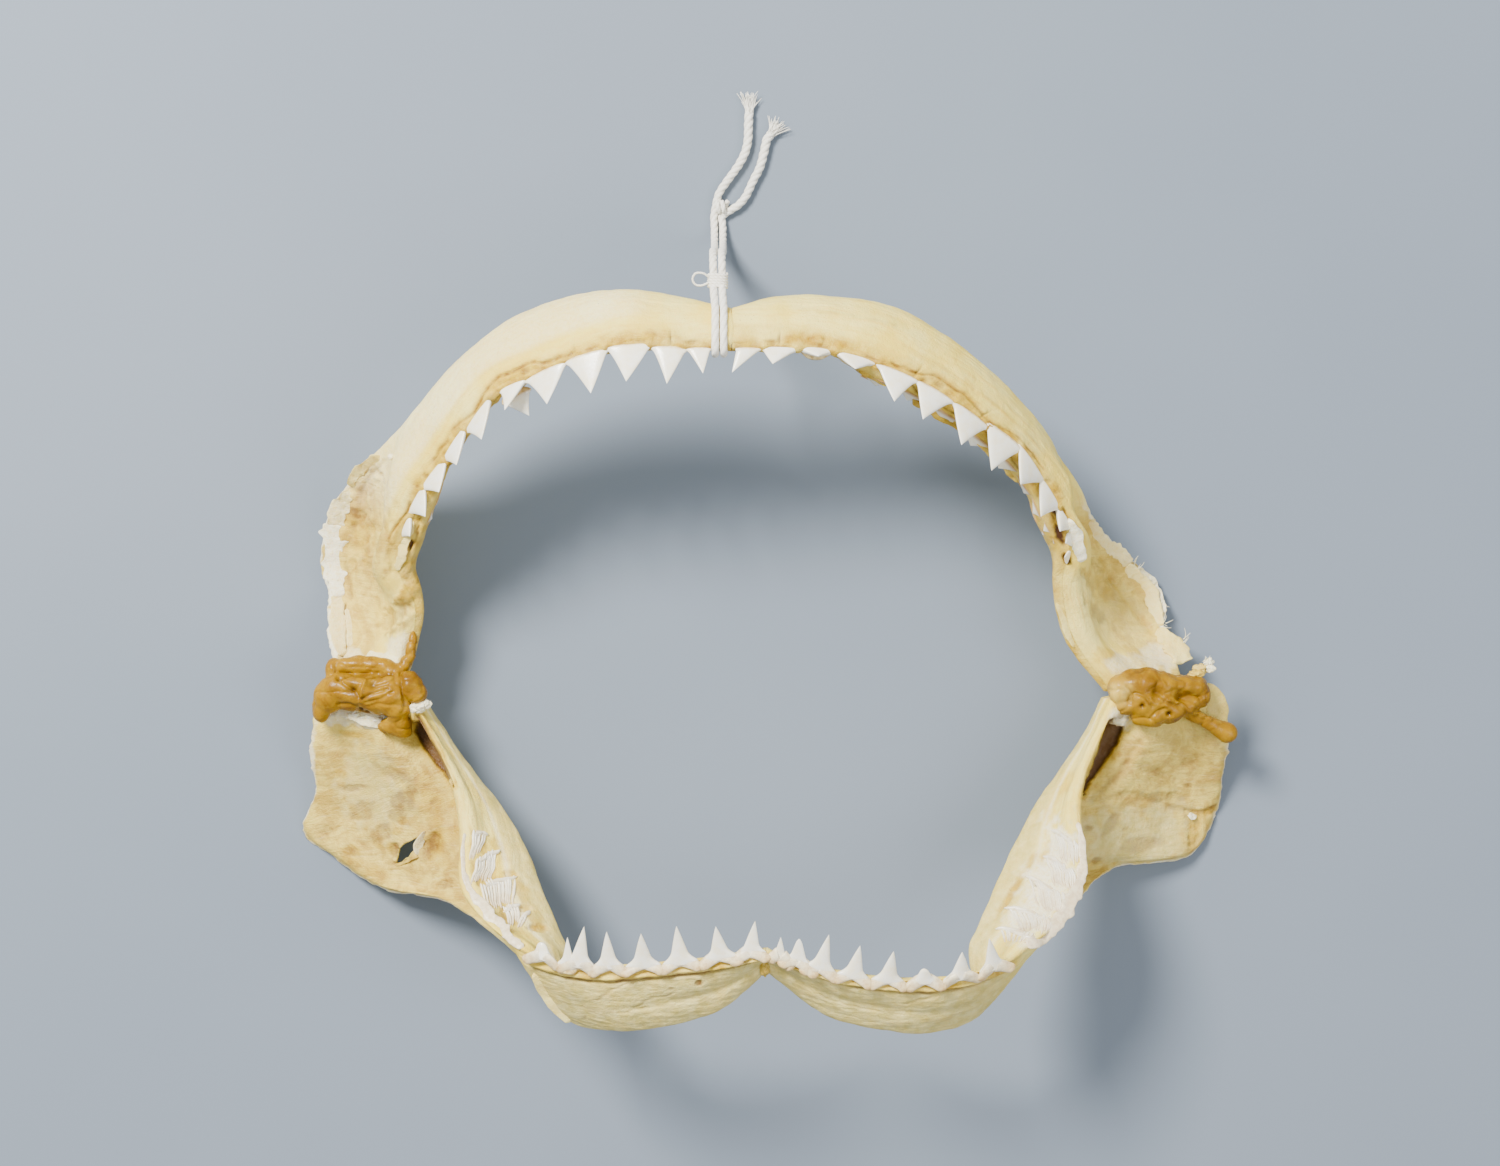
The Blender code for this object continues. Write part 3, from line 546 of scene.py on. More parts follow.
def make_piece(name, points, faces, material, marks, slot):
    """A piece of the part from its points and faces, with its marks for the material."""
    mesh = bpy.data.meshes.new(name)
    mesh.from_pydata(frame_place(points).tolist(), [], faces)
    mesh.validate()
    for key, values in marks.items():
        kind = "FLOAT_VECTOR" if np.ndim(values) == 2 else "FLOAT"
        layer = mesh.attributes.new(key, kind, "POINT")
        layer.data.foreach_set("vector" if kind == "FLOAT_VECTOR" else "value",
                               np.asarray(values, np.float32).ravel())
    work = bmesh.new()
    work.from_mesh(mesh)
    bmesh.ops.recalc_face_normals(work, faces=work.faces)
    work.to_mesh(mesh)
    work.free()
    mesh.shade_smooth()
    mesh.materials.append(material)
    thing = add_object(name, mesh)
    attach(thing, "root")
    return thing


def tube_faces(rows, columns, offset=0):
    """Quads of a closed tube of rings, with a face over each end."""
    index = offset + np.arange(rows * columns).reshape(rows, columns)
    a, d = index[:-1], index[1:]
    quads = np.stack([a, np.roll(a, -1, 1), np.roll(d, -1, 1), d], axis=-1)
    return quads.reshape(-1, 4).tolist() + [index[0][::-1].tolist(), index[-1].tolist()]


class Gathered:
    """Points and faces of many small shapes that make one piece."""

    def __init__(self):
        self.points, self.faces, self.marks, self.count = [], [], [], 0

    def add_rings(self, rings, **marks):
        """Adds one tube of rings, and a value for each of its marks."""
        rings = np.asarray(rings, float)
        rows, columns, _ = rings.shape
        self.faces += tube_faces(rows, columns, self.count)
        self.points.append(rings.reshape(-1, 3))
        self.count += rows * columns
        self.marks.append({key: np.broadcast_to(values, (rows, columns)).ravel()
                           for key, values in marks.items()})

    def piece(self, name, material, slot):
        """The piece.  A mark that a tube wasn't given is 0 there."""
        keys = sorted({key for marks in self.marks for key in marks})
        parts = list(zip(self.marks, self.points))
        marks = {key: np.concatenate([given.get(key, np.zeros(len(points)))
                                      for given, points in parts]) for key in keys}
        return make_piece(name, np.vstack(self.points), self.faces, material, marks, slot)


# ---------------------------------------------------------------- materials
class Shader:
    """A material's nodes, written as short calls."""

    def __init__(self, name):
        self.material = bpy.data.materials.new(name)
        self.material.use_nodes = True
        self.tree = self.material.node_tree
        self.surface = self.tree.nodes["Principled BSDF"]

    def set(self, socket, value):
        if isinstance(value, bpy.types.NodeSocket):
            self.tree.links.new(value, socket)
        elif isinstance(value, tuple) and len(value) == 3 and socket.type == "RGBA":
            socket.default_value = (*value, 1.0)
        else:
            socket.default_value = value

    def fill(self, node, inputs):
        """Sets a node's inputs, by their numbers, or their names with _ for a space."""
        for key, value in inputs.items():
            self.set(node.inputs[key if isinstance(key, int) else key.replace("_", " ")], value)
        return node

    def node(self, kind, **inputs):
        return self.fill(self.tree.nodes.new(kind), inputs)

    def surfaced(self, **inputs):
        """The finished material, with these inputs of its surface."""
        self.fill(self.surface, inputs)
        return self.material

    def mark(self, name, vector=False):
        made = self.node("ShaderNodeAttribute")
        made.attribute_name = name
        return made.outputs["Vector" if vector else "Fac"]

    def place(self):
        return self.node("ShaderNodeTexCoord").outputs["Object"]

    def scaled(self, vector, scale):
        made = self.node("ShaderNodeMapping", Vector=vector, Scale=scale)
        return made.outputs["Vector"]

    def noise(self, vector, scale, detail=4.0, rough=0.55, warp=0.0):
        made = self.node("ShaderNodeTexNoise", Vector=vector, Scale=scale, Detail=detail,
                         Roughness=rough, Distortion=warp)
        return made.outputs["Fac"]

    def cells(self, vector, scale, feature="DISTANCE_TO_EDGE"):
        made = self.node("ShaderNodeTexVoronoi", Vector=vector, Scale=scale)
        made.feature = feature
        return made.outputs["Distance"]

    def range(self, value, low, high, to_low=0.0, to_high=1.0):
        made = self.tree.nodes.new("ShaderNodeMapRange")
        made.interpolation_type = "SMOOTHSTEP"
        self.fill(made, dict(enumerate((value, low, high, to_low, to_high))))
        return made.outputs["Result"]

    def math(self, operation, a, b):
        made = self.tree.nodes.new("ShaderNodeMath")
        made.operation = operation
        return self.fill(made, {0: a, 1: b}).outputs[0]

    def times(self, a, b):
        return self.math("MULTIPLY", a, b)

    def plus(self, a, b):
        return self.math("ADD", a, b)

    def mix(self, share, a, b):
        """One colour, with a share of a second one laid over it."""
        made = self.tree.nodes.new("ShaderNodeMix")
        made.data_type = "RGBA"
        return self.fill(made, {0: share, 6: a, 7: b}).outputs[2]

    def bump(self, height, depth, under=None):
        made = self.node("ShaderNodeBump", Height=height, Distance=depth)
        if under is not None:
            self.set(made.inputs["Normal"], under)
        return made.outputs["Normal"]


def cartilage_material():
    s = Shader("dried_cartilage")
    place, form = s.place(), s.mark("form", vector=True)
    cloud = s.noise(place, 38, 5, 0.6)
    mottle = s.noise(place, 230, 6, 0.62)
    patch = s.noise(place, 95, 6, 0.68, 0.8)
    wave = s.node("ShaderNodeTexNoise", Vector=place, Scale=42)
    warped = s.tree.nodes.new("ShaderNodeVectorMath")
    warped.operation = "MULTIPLY_ADD"
    form = s.fill(warped, {0: wave.outputs["Color"], 1: (0.009, 0.009, 0.0), 2: form}).outputs[0]
    streak_along = s.noise(s.scaled(form, (55, 620, 1)), 1.0, 4, 0.6)
    streak_across = s.noise(s.scaled(form, (760, 70, 1)), 1.0, 5, 0.65)
    colour = s.mix(s.range(cloud, 0.35, 0.65), (0.90, 0.67, 0.10), (0.94, 0.79, 0.24))
    colour = s.mix(s.range(streak_along, 0.44, 0.72, 0, 0.5), colour, (0.84, 0.54, 0.08))
    tan = s.mix(s.range(patch, 0.40, 0.62), (0.80, 0.60, 0.13), (0.57, 0.38, 0.062))
    tan = s.mix(s.range(mottle, 0.45, 0.72, 0, 0.55), tan, (0.42, 0.23, 0.05))
    tan = s.mix(s.range(streak_across, 0.52, 0.74, 0, 0.45), tan, (0.34, 0.18, 0.05))
    tan = s.mix(s.range(streak_across, 0.46, 0.30, 0, 0.35), tan, (0.92, 0.76, 0.32))
    colour = s.mix(s.mark("plate"), colour, tan)
    # greyish olive: the cartilage's own grey strips, and painted shade on the chin and on shaded
    # parts of the plates
    slate = s.mix(s.range(mottle, 0.3, 0.7), (0.54, 0.44, 0.12), (0.78, 0.66, 0.27))
    slate = s.mix(s.range(patch, 0.42, 0.64, 0, 0.5), slate, (0.74, 0.56, 0.15))
    colour = s.mix(s.mark("grey"), colour, slate)
    # ochre: the gum's own colour, and painted shade in hollows, inside rims and beside the slits
    ochre = s.mix(s.range(mottle, 0.32, 0.68), (0.62, 0.40, 0.022), (0.42, 0.225, 0.008))
    gum = s.times(s.mark("gum"), s.range(s.noise(place, 120, 4, 0.6), 0.3, 0.62, 0.4, 1.0))
    colour = s.mix(gum, colour, ochre)
    # dark brown: real stains, and painted shade in furrows, creases, grooves and under rims
    stain = s.times(s.mark("stain"), s.range(mottle, 0.28, 0.62, 0.3, 1.0))
    colour = s.mix(stain, colour, (0.19, 0.085, 0.015))
    # chalky white: dry powder and torn tissue, and a painted highlight on the upper side of the
    # left bar
    powder = s.range(s.noise(place, 700, 4, 0.7), 0.4, 0.7)
    chalk = s.mix(powder, (0.94, 0.89, 0.68), (0.88, 0.76, 0.42))
    colour = s.mix(s.mark("pale"), colour, chalk)
    # near black: painted shade in the slits, holes, cracks and the fossa's hollow
    colour = s.mix(s.mark("shade_and_brown"), colour, (0.085, 0.03, 0.010))
    speck = s.times(s.range(s.cells(place, 420, "F1"), 0.16, 0.07), s.range(cloud, 0.5, 0.6))
    colour = s.mix(s.times(speck, 0.4), colour, (0.30, 0.15, 0.05))
    gloss = s.range(s.plus(s.mark("gum"), s.times(mottle, 0.6)), 0.2, 1.4, 0.50, 0.34)
    fine = s.bump(s.noise(place, 1500, 5, 0.65), 0.00014)
    tiles = s.bump(s.range(s.cells(place, 1100), 0.0, 0.18), 0.00006, fine)
    streaks = s.plus(s.times(streak_across, s.mark("plate")), s.times(streak_along, 0.7))
    lines = s.bump(streaks, 0.0004, tiles)
    return s.surfaced(
        Base_Color=colour, Roughness=s.plus(gloss, s.times(s.mark("pale"), 0.3)),
        Specular_IOR_Level=0.24, Subsurface_Weight=0.10, Subsurface_Radius=(0.9, 0.5, 0.18),
        Subsurface_Scale=0.0018,
        Normal=s.bump(s.noise(place, 330, 5, 0.6), 0.00045, lines))


def tooth_material():
    s = Shader("shark_teeth")
    place = s.place()
    cloud = s.noise(place, 260, 4, 0.6)
    enamel = s.mix(s.range(cloud, 0.35, 0.7), (0.95, 0.91, 0.78), (0.93, 0.84, 0.62))
    grime = s.range(s.noise(place, 520, 5, 0.7), 0.35, 0.68)
    root = s.mix(grime, (0.88, 0.70, 0.34), (0.52, 0.32, 0.10))
    colour = s.mix(s.mark("root"), enamel, root)
    colour = s.mix(s.mark("gum"), colour, (0.50, 0.27, 0.06))
    return s.surfaced(
        Base_Color=colour, Roughness=s.range(s.mark("root"), 0, 1, 0.22, 0.55),
        Subsurface_Weight=0.15, Subsurface_Radius=(0.8, 0.7, 0.55), Subsurface_Scale=0.0015,
        Normal=s.bump(s.noise(place, 900, 4, 0.6), 0.00006))


def resin_material():
    s = Shader("amber_resin")
    place = s.place()
    cloud = s.noise(place, 95, 5, 0.6, 1.2)
    colour = s.mix(s.range(cloud, 0.3, 0.7), (0.34, 0.175, 0.0015), (0.20, 0.088, 0.001))
    veins = s.range(s.noise(place, 300, 4, 0.6), 0.55, 0.75, 0, 0.5)
    colour = s.mix(veins, colour, (0.44, 0.27, 0.012))
    thin = s.times(s.mark("thin"), s.range(cloud, 0.3, 0.6, 0.5, 1.0))
    colour = s.mix(thin, colour, (0.66, 0.46, 0.09))
    # near black: painted shade in the pits, folds and creases, and a brown tint where the resin is
    # thin
    colour = s.mix(s.mark("shade_and_brown"), colour, (0.04, 0.012, 0.001))
    return s.surfaced(
        Base_Color=colour, Roughness=s.range(s.noise(place, 420, 3, 0.5), 0.3, 0.7, 0.22, 0.42),
        Specular_IOR_Level=0.16, Subsurface_Weight=0.12, Subsurface_Radius=(1.0, 0.45, 0.05),
        Subsurface_Scale=0.002, Coat_Weight=0.06, Coat_Roughness=0.14,
        Normal=s.bump(s.noise(place, 500, 5, 0.6), 0.00022))


def cotton_material():
    s = Shader("cotton_twine")
    place = s.place()
    fuzz = s.noise(place, 1800, 4, 0.7)
    colour = s.mix(s.range(fuzz, 0.35, 0.65), (0.94, 0.92, 0.84), (0.82, 0.77, 0.64))
    # painted shade: darker between the plies and among the loose fibres
    colour = s.mix(s.times(s.mark("groove"), 0.5), colour, (0.50, 0.43, 0.30))
    return s.surfaced(Base_Color=colour, Roughness=0.92, Sheen_Weight=0.35,
                      Normal=s.bump(fuzz, 0.00018))


# ---------------------------------------------------------------- dressing the upper jaw
UPPER_RIM = 7.0            # the ring's point at the plate's rim
def tooth_gaps(teeth):
    """Places along the edge half-way between neighbouring teeth."""
    places = [tooth[0] for tooth in teeth]
    return [(a + b) / 2 for a, b in zip(places, places[1:])]


def dress_upper(side):
    """The upper cartilage's form and its marks."""
    length = run_of(edge_of(UPPER_TOOTH_EDGE[side], 300))[-1]
    form = Form(*upper_rings(side, round(length / RING_SPACING)))
    station, place, along = form.station, form.place[None, :], form.along
    outer = place < UPPER_RIM
    p = form.points
    rear = ramp(station, 8.0, 9.3)
    plate = rear * ramp(place, 3.1, 4.2) * ramp(place, 7.6, 7.1)
    bar = (1 - rear) * outer

    # broad unevenness of dried cartilage
    lumps = fractal(p / 24, 3, 1) + fractal(p / 7, 3, 4) * 0.34
    # the gum: a creased band along the tooth edge
    edge = 4.6 + 1.6 * ripple(along / 13, 2) + 0.6 * ripple(along / 3.4, 8)
    reach = np.where(outer, form.rise, form.dip * 1.3)
    fades = 1 - ramp(station, 8.6, 10.2)
    gum = ramp(reach, edge + 3.0, edge - 2.5) * (0.25 + 0.75 * fades)
    crease = grain(along / 6.5, form.rise / 0.8, 12) * 0.30
    crease = crease + grain(along / 1.9, form.rise / 2.2, 14) * 0.18
    broken = ramp(ripple(along / 7, 20), -0.35, 0.2) * fades
    furrow = hump(reach, edge - 0.6, 0.55) * broken
    papilla = sum(hump(along, gap, 1.9) for gap in tooth_gaps(UPPER_TEETH[side]))
    papilla = papilla * hump(reach, 0.6, 2.6)
    cracks = sum(hump(along, a, 0.28) for a in UPPER_CRACKS[side]) * hump(reach, 3.6, 2.4) * outer
    # fibres along the bar and across the plate
    fibre = grain(along / 26, form.rise / 1.2, 30) * 0.13 * bar
    curve = along / 1.3 + form.rise / 14
    fibre = fibre + grain(curve, form.rise / 12, 31) * 0.20 * plate
    amount = lumps + gum * (crease + 0.35) - 1.0 * furrow + 0.9 * papilla - 0.9 * cracks + fibre

    golden = grain(along / 34, form.rise / 1.5, 33) * 0.5
    golden = golden + grain(along / 12, form.rise / 4, 34) * 0.3
    golden = (GOLDEN[side] * bar * ramp(form.rise, 17, 11) * ramp(form.rise, 1, 5)
              * (0.45 + golden))
    within = (1 - outer) * ramp(form.dip, 15, 11)
    within = within * (0.75 + 0.25 * grain(along / 5, form.dip / 3, 36))
    # the gum's creases, painted dark as shade in them
    wrinkled = gum * ramp(-crease, 0.10, 0.34)
    # painted highlight: the upper side of the left bar made paler, where the key lamp from the left
    # falls
    painted_highlight = 0.4 * bar * ramp(form.rise, 9, 14) * (side == "left") * ramp(p[..., 0], -30, -55)

    # the plate's torn, turned-up rim
    rim = np.argmin(np.abs(place - UPPER_RIM))
    rim_run = run_of(p[:, rim])[:, None]
    torn = rear * ramp(station, 12.9, 12.2)
    rag = ripple(rim_run / 5.2, 41) * 1.3 + ripple(rim_run / 1.7, 42) * 0.9
    rag = rag + ripple(rim_run / 0.75, 43) * 0.5
    from_rim = form.from_place(UPPER_RIM)
    at_rim = hump(from_rim, 0, 2.2) * torn
    outward = unit(p[:, rim] - p[:, 0])[:, None]
    fray = fractal(p / 3.4, 3, 47)
    pale = torn * ramp(from_rim + fray * 3.0, 5.4, 3.6) * ramp(place, 4.0, 4.3)
    amount = amount + torn * hump(from_rim, 2.2, 2.0) * (0.9 + 0.8 * fray) * outer

    marks = dict(
        gum=np.clip(np.maximum(gum * 0.9 + furrow * 0.5 + golden, within), 0, 1),
        plate=np.clip(plate * 0.9, 0, 1),
        pale=np.clip(pale + painted_highlight, 0, 1),
        grey=rear * ramp(place, 9.4, 10.4) * 0.5 * ramp(place, 13.0, 12.2),
        # painted shade in the furrow, in the gum's creases and along the tooth edge under the bar's
        # lip
        stain=np.clip(0.8 * furrow + 0.6 * wrinkled
                      + 0.5 * fades * hump(reach, 0.1, 1.1) * outer, 0, 1),
        # painted shade in the cracks across the gum
        shade_and_brown=np.clip(0.75 * cracks, 0, 1),
    )
    amount = painted(form, marks, amount, UPPER_SPOTS[side], UPPER_LINES[side])
    finish_form(form, marks, amount, outward * (rag[..., None] * at_rim[..., None]))
    return form, marks


def painted(form, marks, amount, spots, lines):
    """Adds the listed blots and lines to the marks, and their depths to the push."""
    for kind, strength, depth, blots in spots:
        for number, blot in enumerate(blots):
            near = form.spot(*at_pixel(*blot[:2]), *blot[2:], seed=3 + number)
            marks[kind] = np.maximum(marks[kind], near * strength)
            amount = amount - depth * near
    for kind, strength, depth, width, line in lines:
        if kind == "slit":
            # a slit is painted near black as the shade in it, with a rim of ochre painted shade
            # beside it
            near = form.wedge(line)
            marks["shade_and_brown"] = np.maximum(marks["shade_and_brown"], near * strength)
            beside = form.wedge([(x, y, half + 1.6) for x, y, half in line])
            marks["gum"] = np.maximum(marks["gum"], beside * 0.8)
            amount = amount - depth * near
            continue
        near = form.trace(line_by_pixel(line), width)
        fade = ramp(fractal(form.points / 4.5, 2, 6), -0.35, 0.25)
        marks[kind] = np.maximum(marks[kind], near * strength * (0.35 + 0.65 * fade))
        amount = amount - depth * near
    return amount


def finish_form(form, marks, amount, ragged):
    """Pushes the surface out, moves its torn edge, and closes it above the floor."""
    form.push(amount)
    form.points = form.points + ragged
    form.points[..., 2] = np.maximum(form.points[..., 2], FLOOR_CLEARANCE)
    close_ends(form, marks)
    form.measure()


FLOOR_CLEARANCE = 0.05     # the lowest that a cartilage's surface comes
# The rings that close a form's ends: share of the last ring's size, and distance past it.
END_CAP = [(0.985, 0.16), (0.93, 0.29), (0.6, 0.36)]


def close_ends(form, marks):
    """Rounds both ends of a form with three shrinking rings, so that it has no sharp cut."""
    points = form.points
    for first, step in ((0, 1), (-1, -1)):
        ring = points[first]
        middle = ring.mean(axis=0)
        heading = unit((ring - points[first + step]).mean(axis=0))
        grown = [middle + (ring - middle) * share + heading * push for share, push in END_CAP]
        if first == 0:
            points = np.concatenate([np.array(grown[::-1]), points])
        else:
            points = np.concatenate([points, np.array(grown)])
    count = len(END_CAP)
    form.points = points

    def lengthened(value):
        return np.concatenate([value[:1]] * count + [value] + [value[-1:]] * count)

    form.station = lengthened(form.station)
    for key, value in marks.items():
        marks[key] = lengthened(np.broadcast_to(value, (len(points) - 2 * count, len(form.place))))


# ---------------------------------------------------------------- dressing the lower jaw
LOWER_KEEL, LOWER_MARGIN, LOWER_FACE = 4, 8, 10    # the ring's points there
def dress_lower(side):
    """The lower cartilage's form and its marks."""
    length = run_of(edge_of(ORAL_EDGE[side], 300))[-1]
    form = Form(*lower_rings(side, round(length / RING_SPACING)))
    station, place, along = form.station, form.place[None, :], form.along
    p = form.points
    fossa = smooth(FOSSA[side], form.station[:, 0]).clip(0, 1)[:, None]
    chin = ramp(station, 7.0, 8.2)
    band = place < LOWER_KEEL
    # share of the way from the margin to the oral edge, over the outer face
    share = np.interp(place, np.arange(8) + LOWER_MARGIN, [0, *CHIN_FACE, 1])
    face = place > LOWER_MARGIN
    blade = fossa * ramp(place, 8.0, 8.1) * ramp(place, 11.9, 11.3)

    lumps = fractal(p / 22, 3, 51) * 0.9 + fractal(p / 6.5, 3, 54) * 0.32
    # the chin: a lip of gum over the bare cartilage
    lip_at = 0.70 + 0.03 * ripple(along / 14, 60) + 0.012 * ripple(along / 3, 63)
    lip = chin * face * ramp(share, lip_at - 0.01, lip_at + 0.04)
    groove = chin * face * hump(share, lip_at - 0.03, 0.04)
    over = chin * face * hump(share, lip_at + 0.08, 0.07)
    crease = grain(along / 8, form.dip / 0.8, 61) * 0.28
    crease = crease + grain(along / 2.4, form.dip / 2, 62) * 0.2
    # the band: gum outside, a smooth grey strip along the keel
    amount = lumps + lip * crease + 1.3 * over - 1.2 * groove
    wrinkle = fractal(stack(along / 9 + form.dip / 5, form.dip / 1.6 - along / 11), 3, 64)
    bare = chin * (place > 4.2) * (1 - lip)
    amount = amount + bare * wrinkle * 0.22
    amount = amount + grain(along / 1.7 + form.dip / 11, form.dip / 13, 66) * 0.09 * blade
    amount = amount + band * grain(along / 9, form.rise / 1.7, 67) * 0.16
    # the blade's torn, turned-out rim
    margin = np.argmin(np.abs(form.place - LOWER_MARGIN))
    from_margin = form.from_place(LOWER_MARGIN)
    at_margin = hump(from_margin, 0, 2.2) * fossa
    rim_run = run_of(p[:, margin])[:, None]
    rag = ripple(rim_run / 6, 71) + ripple(rim_run / 1.8, 72) * 0.6
    rag = rag + ripple(rim_run / 0.7, 73) * 0.3
    inland = form.points[:, np.argmin(np.abs(form.place - LOWER_FACE))]
    outward = unit(p[:, margin] - inland)[:, None]
    fray = fractal(p / 4.5, 3, 75)
    rim = fossa * face * ramp(from_margin + fray * 1.8, 3.6, 1.6)
    amount = amount + fossa * face * hump(from_margin, 1.3, 1.3) * (0.9 + 0.7 * fray)
    strip = band * ramp(place, 2.55, 2.85) * ramp(place, 4.0, 3.8)
    edge_line = band * hump(place, 2.55, 0.12)
    smoothed = band * ramp(form.rise, 5.0, 8.0)

    gum = lip * (0.35 + 0.6 * ramp(fractal(p / 6, 3, 78), -0.3, 0.4))
    gum = gum + 0.55 * band * ramp(form.rise, 2.2, 0.4)
    gum = gum + 0.45 * smoothed * (1 - strip) * ramp(fractal(p / 9, 3, 77), -0.3, 0.5)
    # painted shade: dark in the groove under the lip, in the lip's creases and in the chin's
    # wrinkles
    stain = groove * 0.95 + 0.5 * lip * ramp(-crease, 0.08, 0.3)
    stain = stain + 0.28 * bare * ramp(wrinkle, 0.25, 0.6)
    marks = dict(
        gum=np.clip(gum, 0, 1),
        plate=np.clip(blade, 0, 1),
        pale=np.clip(rim * 0.9 + 0.5 * edge_line, 0, 1),
        # greyish olive over the bare chin, partly painted shade, and the grey strip by the keel
        grey=np.clip(bare * 0.95 + strip * 0.75, 0, 1),
        stain=np.clip(stain, 0, 1),
        # painted shade: near black in the fossa's hollow
        shade_and_brown=np.clip(fossa * ramp(place, 12.2, 12.8) * ramp(place, 14.3, 13.6), 0, 1),
    )
    amount = painted(form, marks, amount, LOWER_SPOTS[side], LOWER_LINES[side])
    finish_form(form, marks, amount, outward * (rag[..., None] * at_margin[..., None]))
    return form, marks


def at_pixel(x, y):
    """A place in the plan drawings from the photograph's pixels."""
    return (x - PHOTO_WIDTH / 2) * PLAN_PER_PIXEL, (PHOTO_HEIGHT / 2 - y) * PLAN_PER_PIXEL


def line_by_pixel(places):
    """A line in plan through pixels of the photograph."""
    return [at_pixel(*place) for place in places]


# How golden the bar is, and where fine cracks cross its gum, in mm along it.
GOLDEN = {"left": 0.22, "right": 0.55}
UPPER_CRACKS = {"left": [22.5, 58.5], "right": [17, 33, 69, 100]}
# Blots on the side that faces the eye: kind, strength, depth in mm, and for each blot its
# pixel, half length and half width in mm, and angle.
UPPER_SPOTS = {
    "left": [
        # painted shade under the rim's lip, in the hollow below the bump and in its shadow streaks
        ("stain", 0.65, 0.5, [(357, 516, 3.4, 2.0, -30), (352, 525, 2.0, 1.2, 40)]),
        ("stain", 0.55, 1.6, [(394, 617, 6.5, 3.6, 40)]),
        ("stain", 0.6, 0.3, [(397, 628, 6.5, 1.9, 31), (409, 604, 4.5, 1.4, 35)]),
        # grey on the medial wall, partly painted shade
        ("grey", 0.85, 0.3, [(420, 560, 9.0, 3.4, 80)]),
        ("gum", 0.95, -0.9, [(409, 590, 5.5, 3.2, 50), (404, 560, 2.2, 6, 10)]),
        # ochre painted shade in the plate's hollow by the rim
        ("gum", 0.6, 1.2, [(355, 525, 5, 14, 5), (366, 482, 4, 7, -30)]),
        # darker tan over the plate, partly painted shade of its hollow
        ("plate", 1.0, 0.0, [(366, 530, 10, 26, 0)]),
        # painted shade in a hole
        ("shade_and_brown", 0.95, 1.3, [(411, 543, 1.8, 0.9, 80)]),
        ("pale", 0.5, 0.3, [(399, 646, 5.0, 4.5, -10), (352, 655, 4, 3, 0)]),
        ("gum", 0.5, 0.0, [(496, 392, 3.2, 1.6, 20), (642, 340, 1.4, 0.8, 0)]),
    ],
    "right": [
        # painted shade in the holes in the lumpy tissue
        ("shade_and_brown", 1.0, 1.2, [
            (1053, 508, 2.6, 1.4, -60), (1061, 536, 3.4, 1.7, -75), (1067, 560, 2.5, 1.2, -62)]),
        # ochre, partly painted shade inside the rim
        ("gum", 0.5, 0.0, [
            (1100, 585, 8, 3, -50), (1065, 598, 2.0, 7, 10), (1110, 660, 9, 4, -30)]),
        # painted shade along the edge of the hollow and by the rim
        ("stain", 0.3, 0.6, [
            (1098, 612, 6, 2.2, -50), (1085, 575, 3, 1, -60), (1111, 581, 2.0, 1.4, -30)]),
        ("plate", 0.6, 0.6, [(1118, 602, 9, 16, 35)]),
        ("grey", 0.35, 0.0, [(1122, 618, 9, 14, 35)]),
        ("pale", 0.5, 0.3, [(1124, 665, 7, 4, -20), (1155, 658, 7, 5, 0)]),
    ],
}
# Lines on the side that faces the eye: kind, strength, depth and width in mm, and pixels.
# A slit's line gives half widths in mm instead.
UPPER_LINES = {
    "left": [
        # painted shade in a crack
        ("shade_and_brown", 1.0, 1.0, 0.5, [(345, 604), (344.5, 628), (345.5, 652)]),
        ("stain", 0.5, 0.3, 0.4, [(360, 512), (372, 524), (380, 527)]),
        # painted shade along the inner side of the rim's lip
        ("stain", 0.5, 0.7, 0.9, [
            (384, 462), (367, 479), (357, 493), (358, 512), (350, 530), (345, 548), (347, 575),
            (352, 598)]),
        # ochre painted shade where the bar's wall falls to the plate
        ("gum", 0.5, 0.3, 0.9, [(387, 460), (386.5, 500), (388, 540), (394, 570)]),
        # painted shade along the edge of the flap by the bar
        ("stain", 0.6, 0.6, 0.7, [(392, 546), (390, 558), (392, 569), (399, 575)]),
    ],
    "right": [
        ("gum", 0.55, -0.3, 0.8, [(800, 310), (830, 313), (862, 319), (892, 326)]),
        ("gum", 0.35, 0.2, 0.6, [(905, 345), (945, 366), (980, 395)]),
        # painted shade in the gap between the rim and its torn edge
        ("stain", 0.7, 0.5, 0.4, [(1145, 600), (1155, 617), (1166, 635)]),
        # ochre painted shade inside the rim
        ("gum", 0.6, 0.7, 1.2, [(1101, 560), (1111, 578), (1126, 597), (1140, 614), (1152, 632)]),
    ],
}
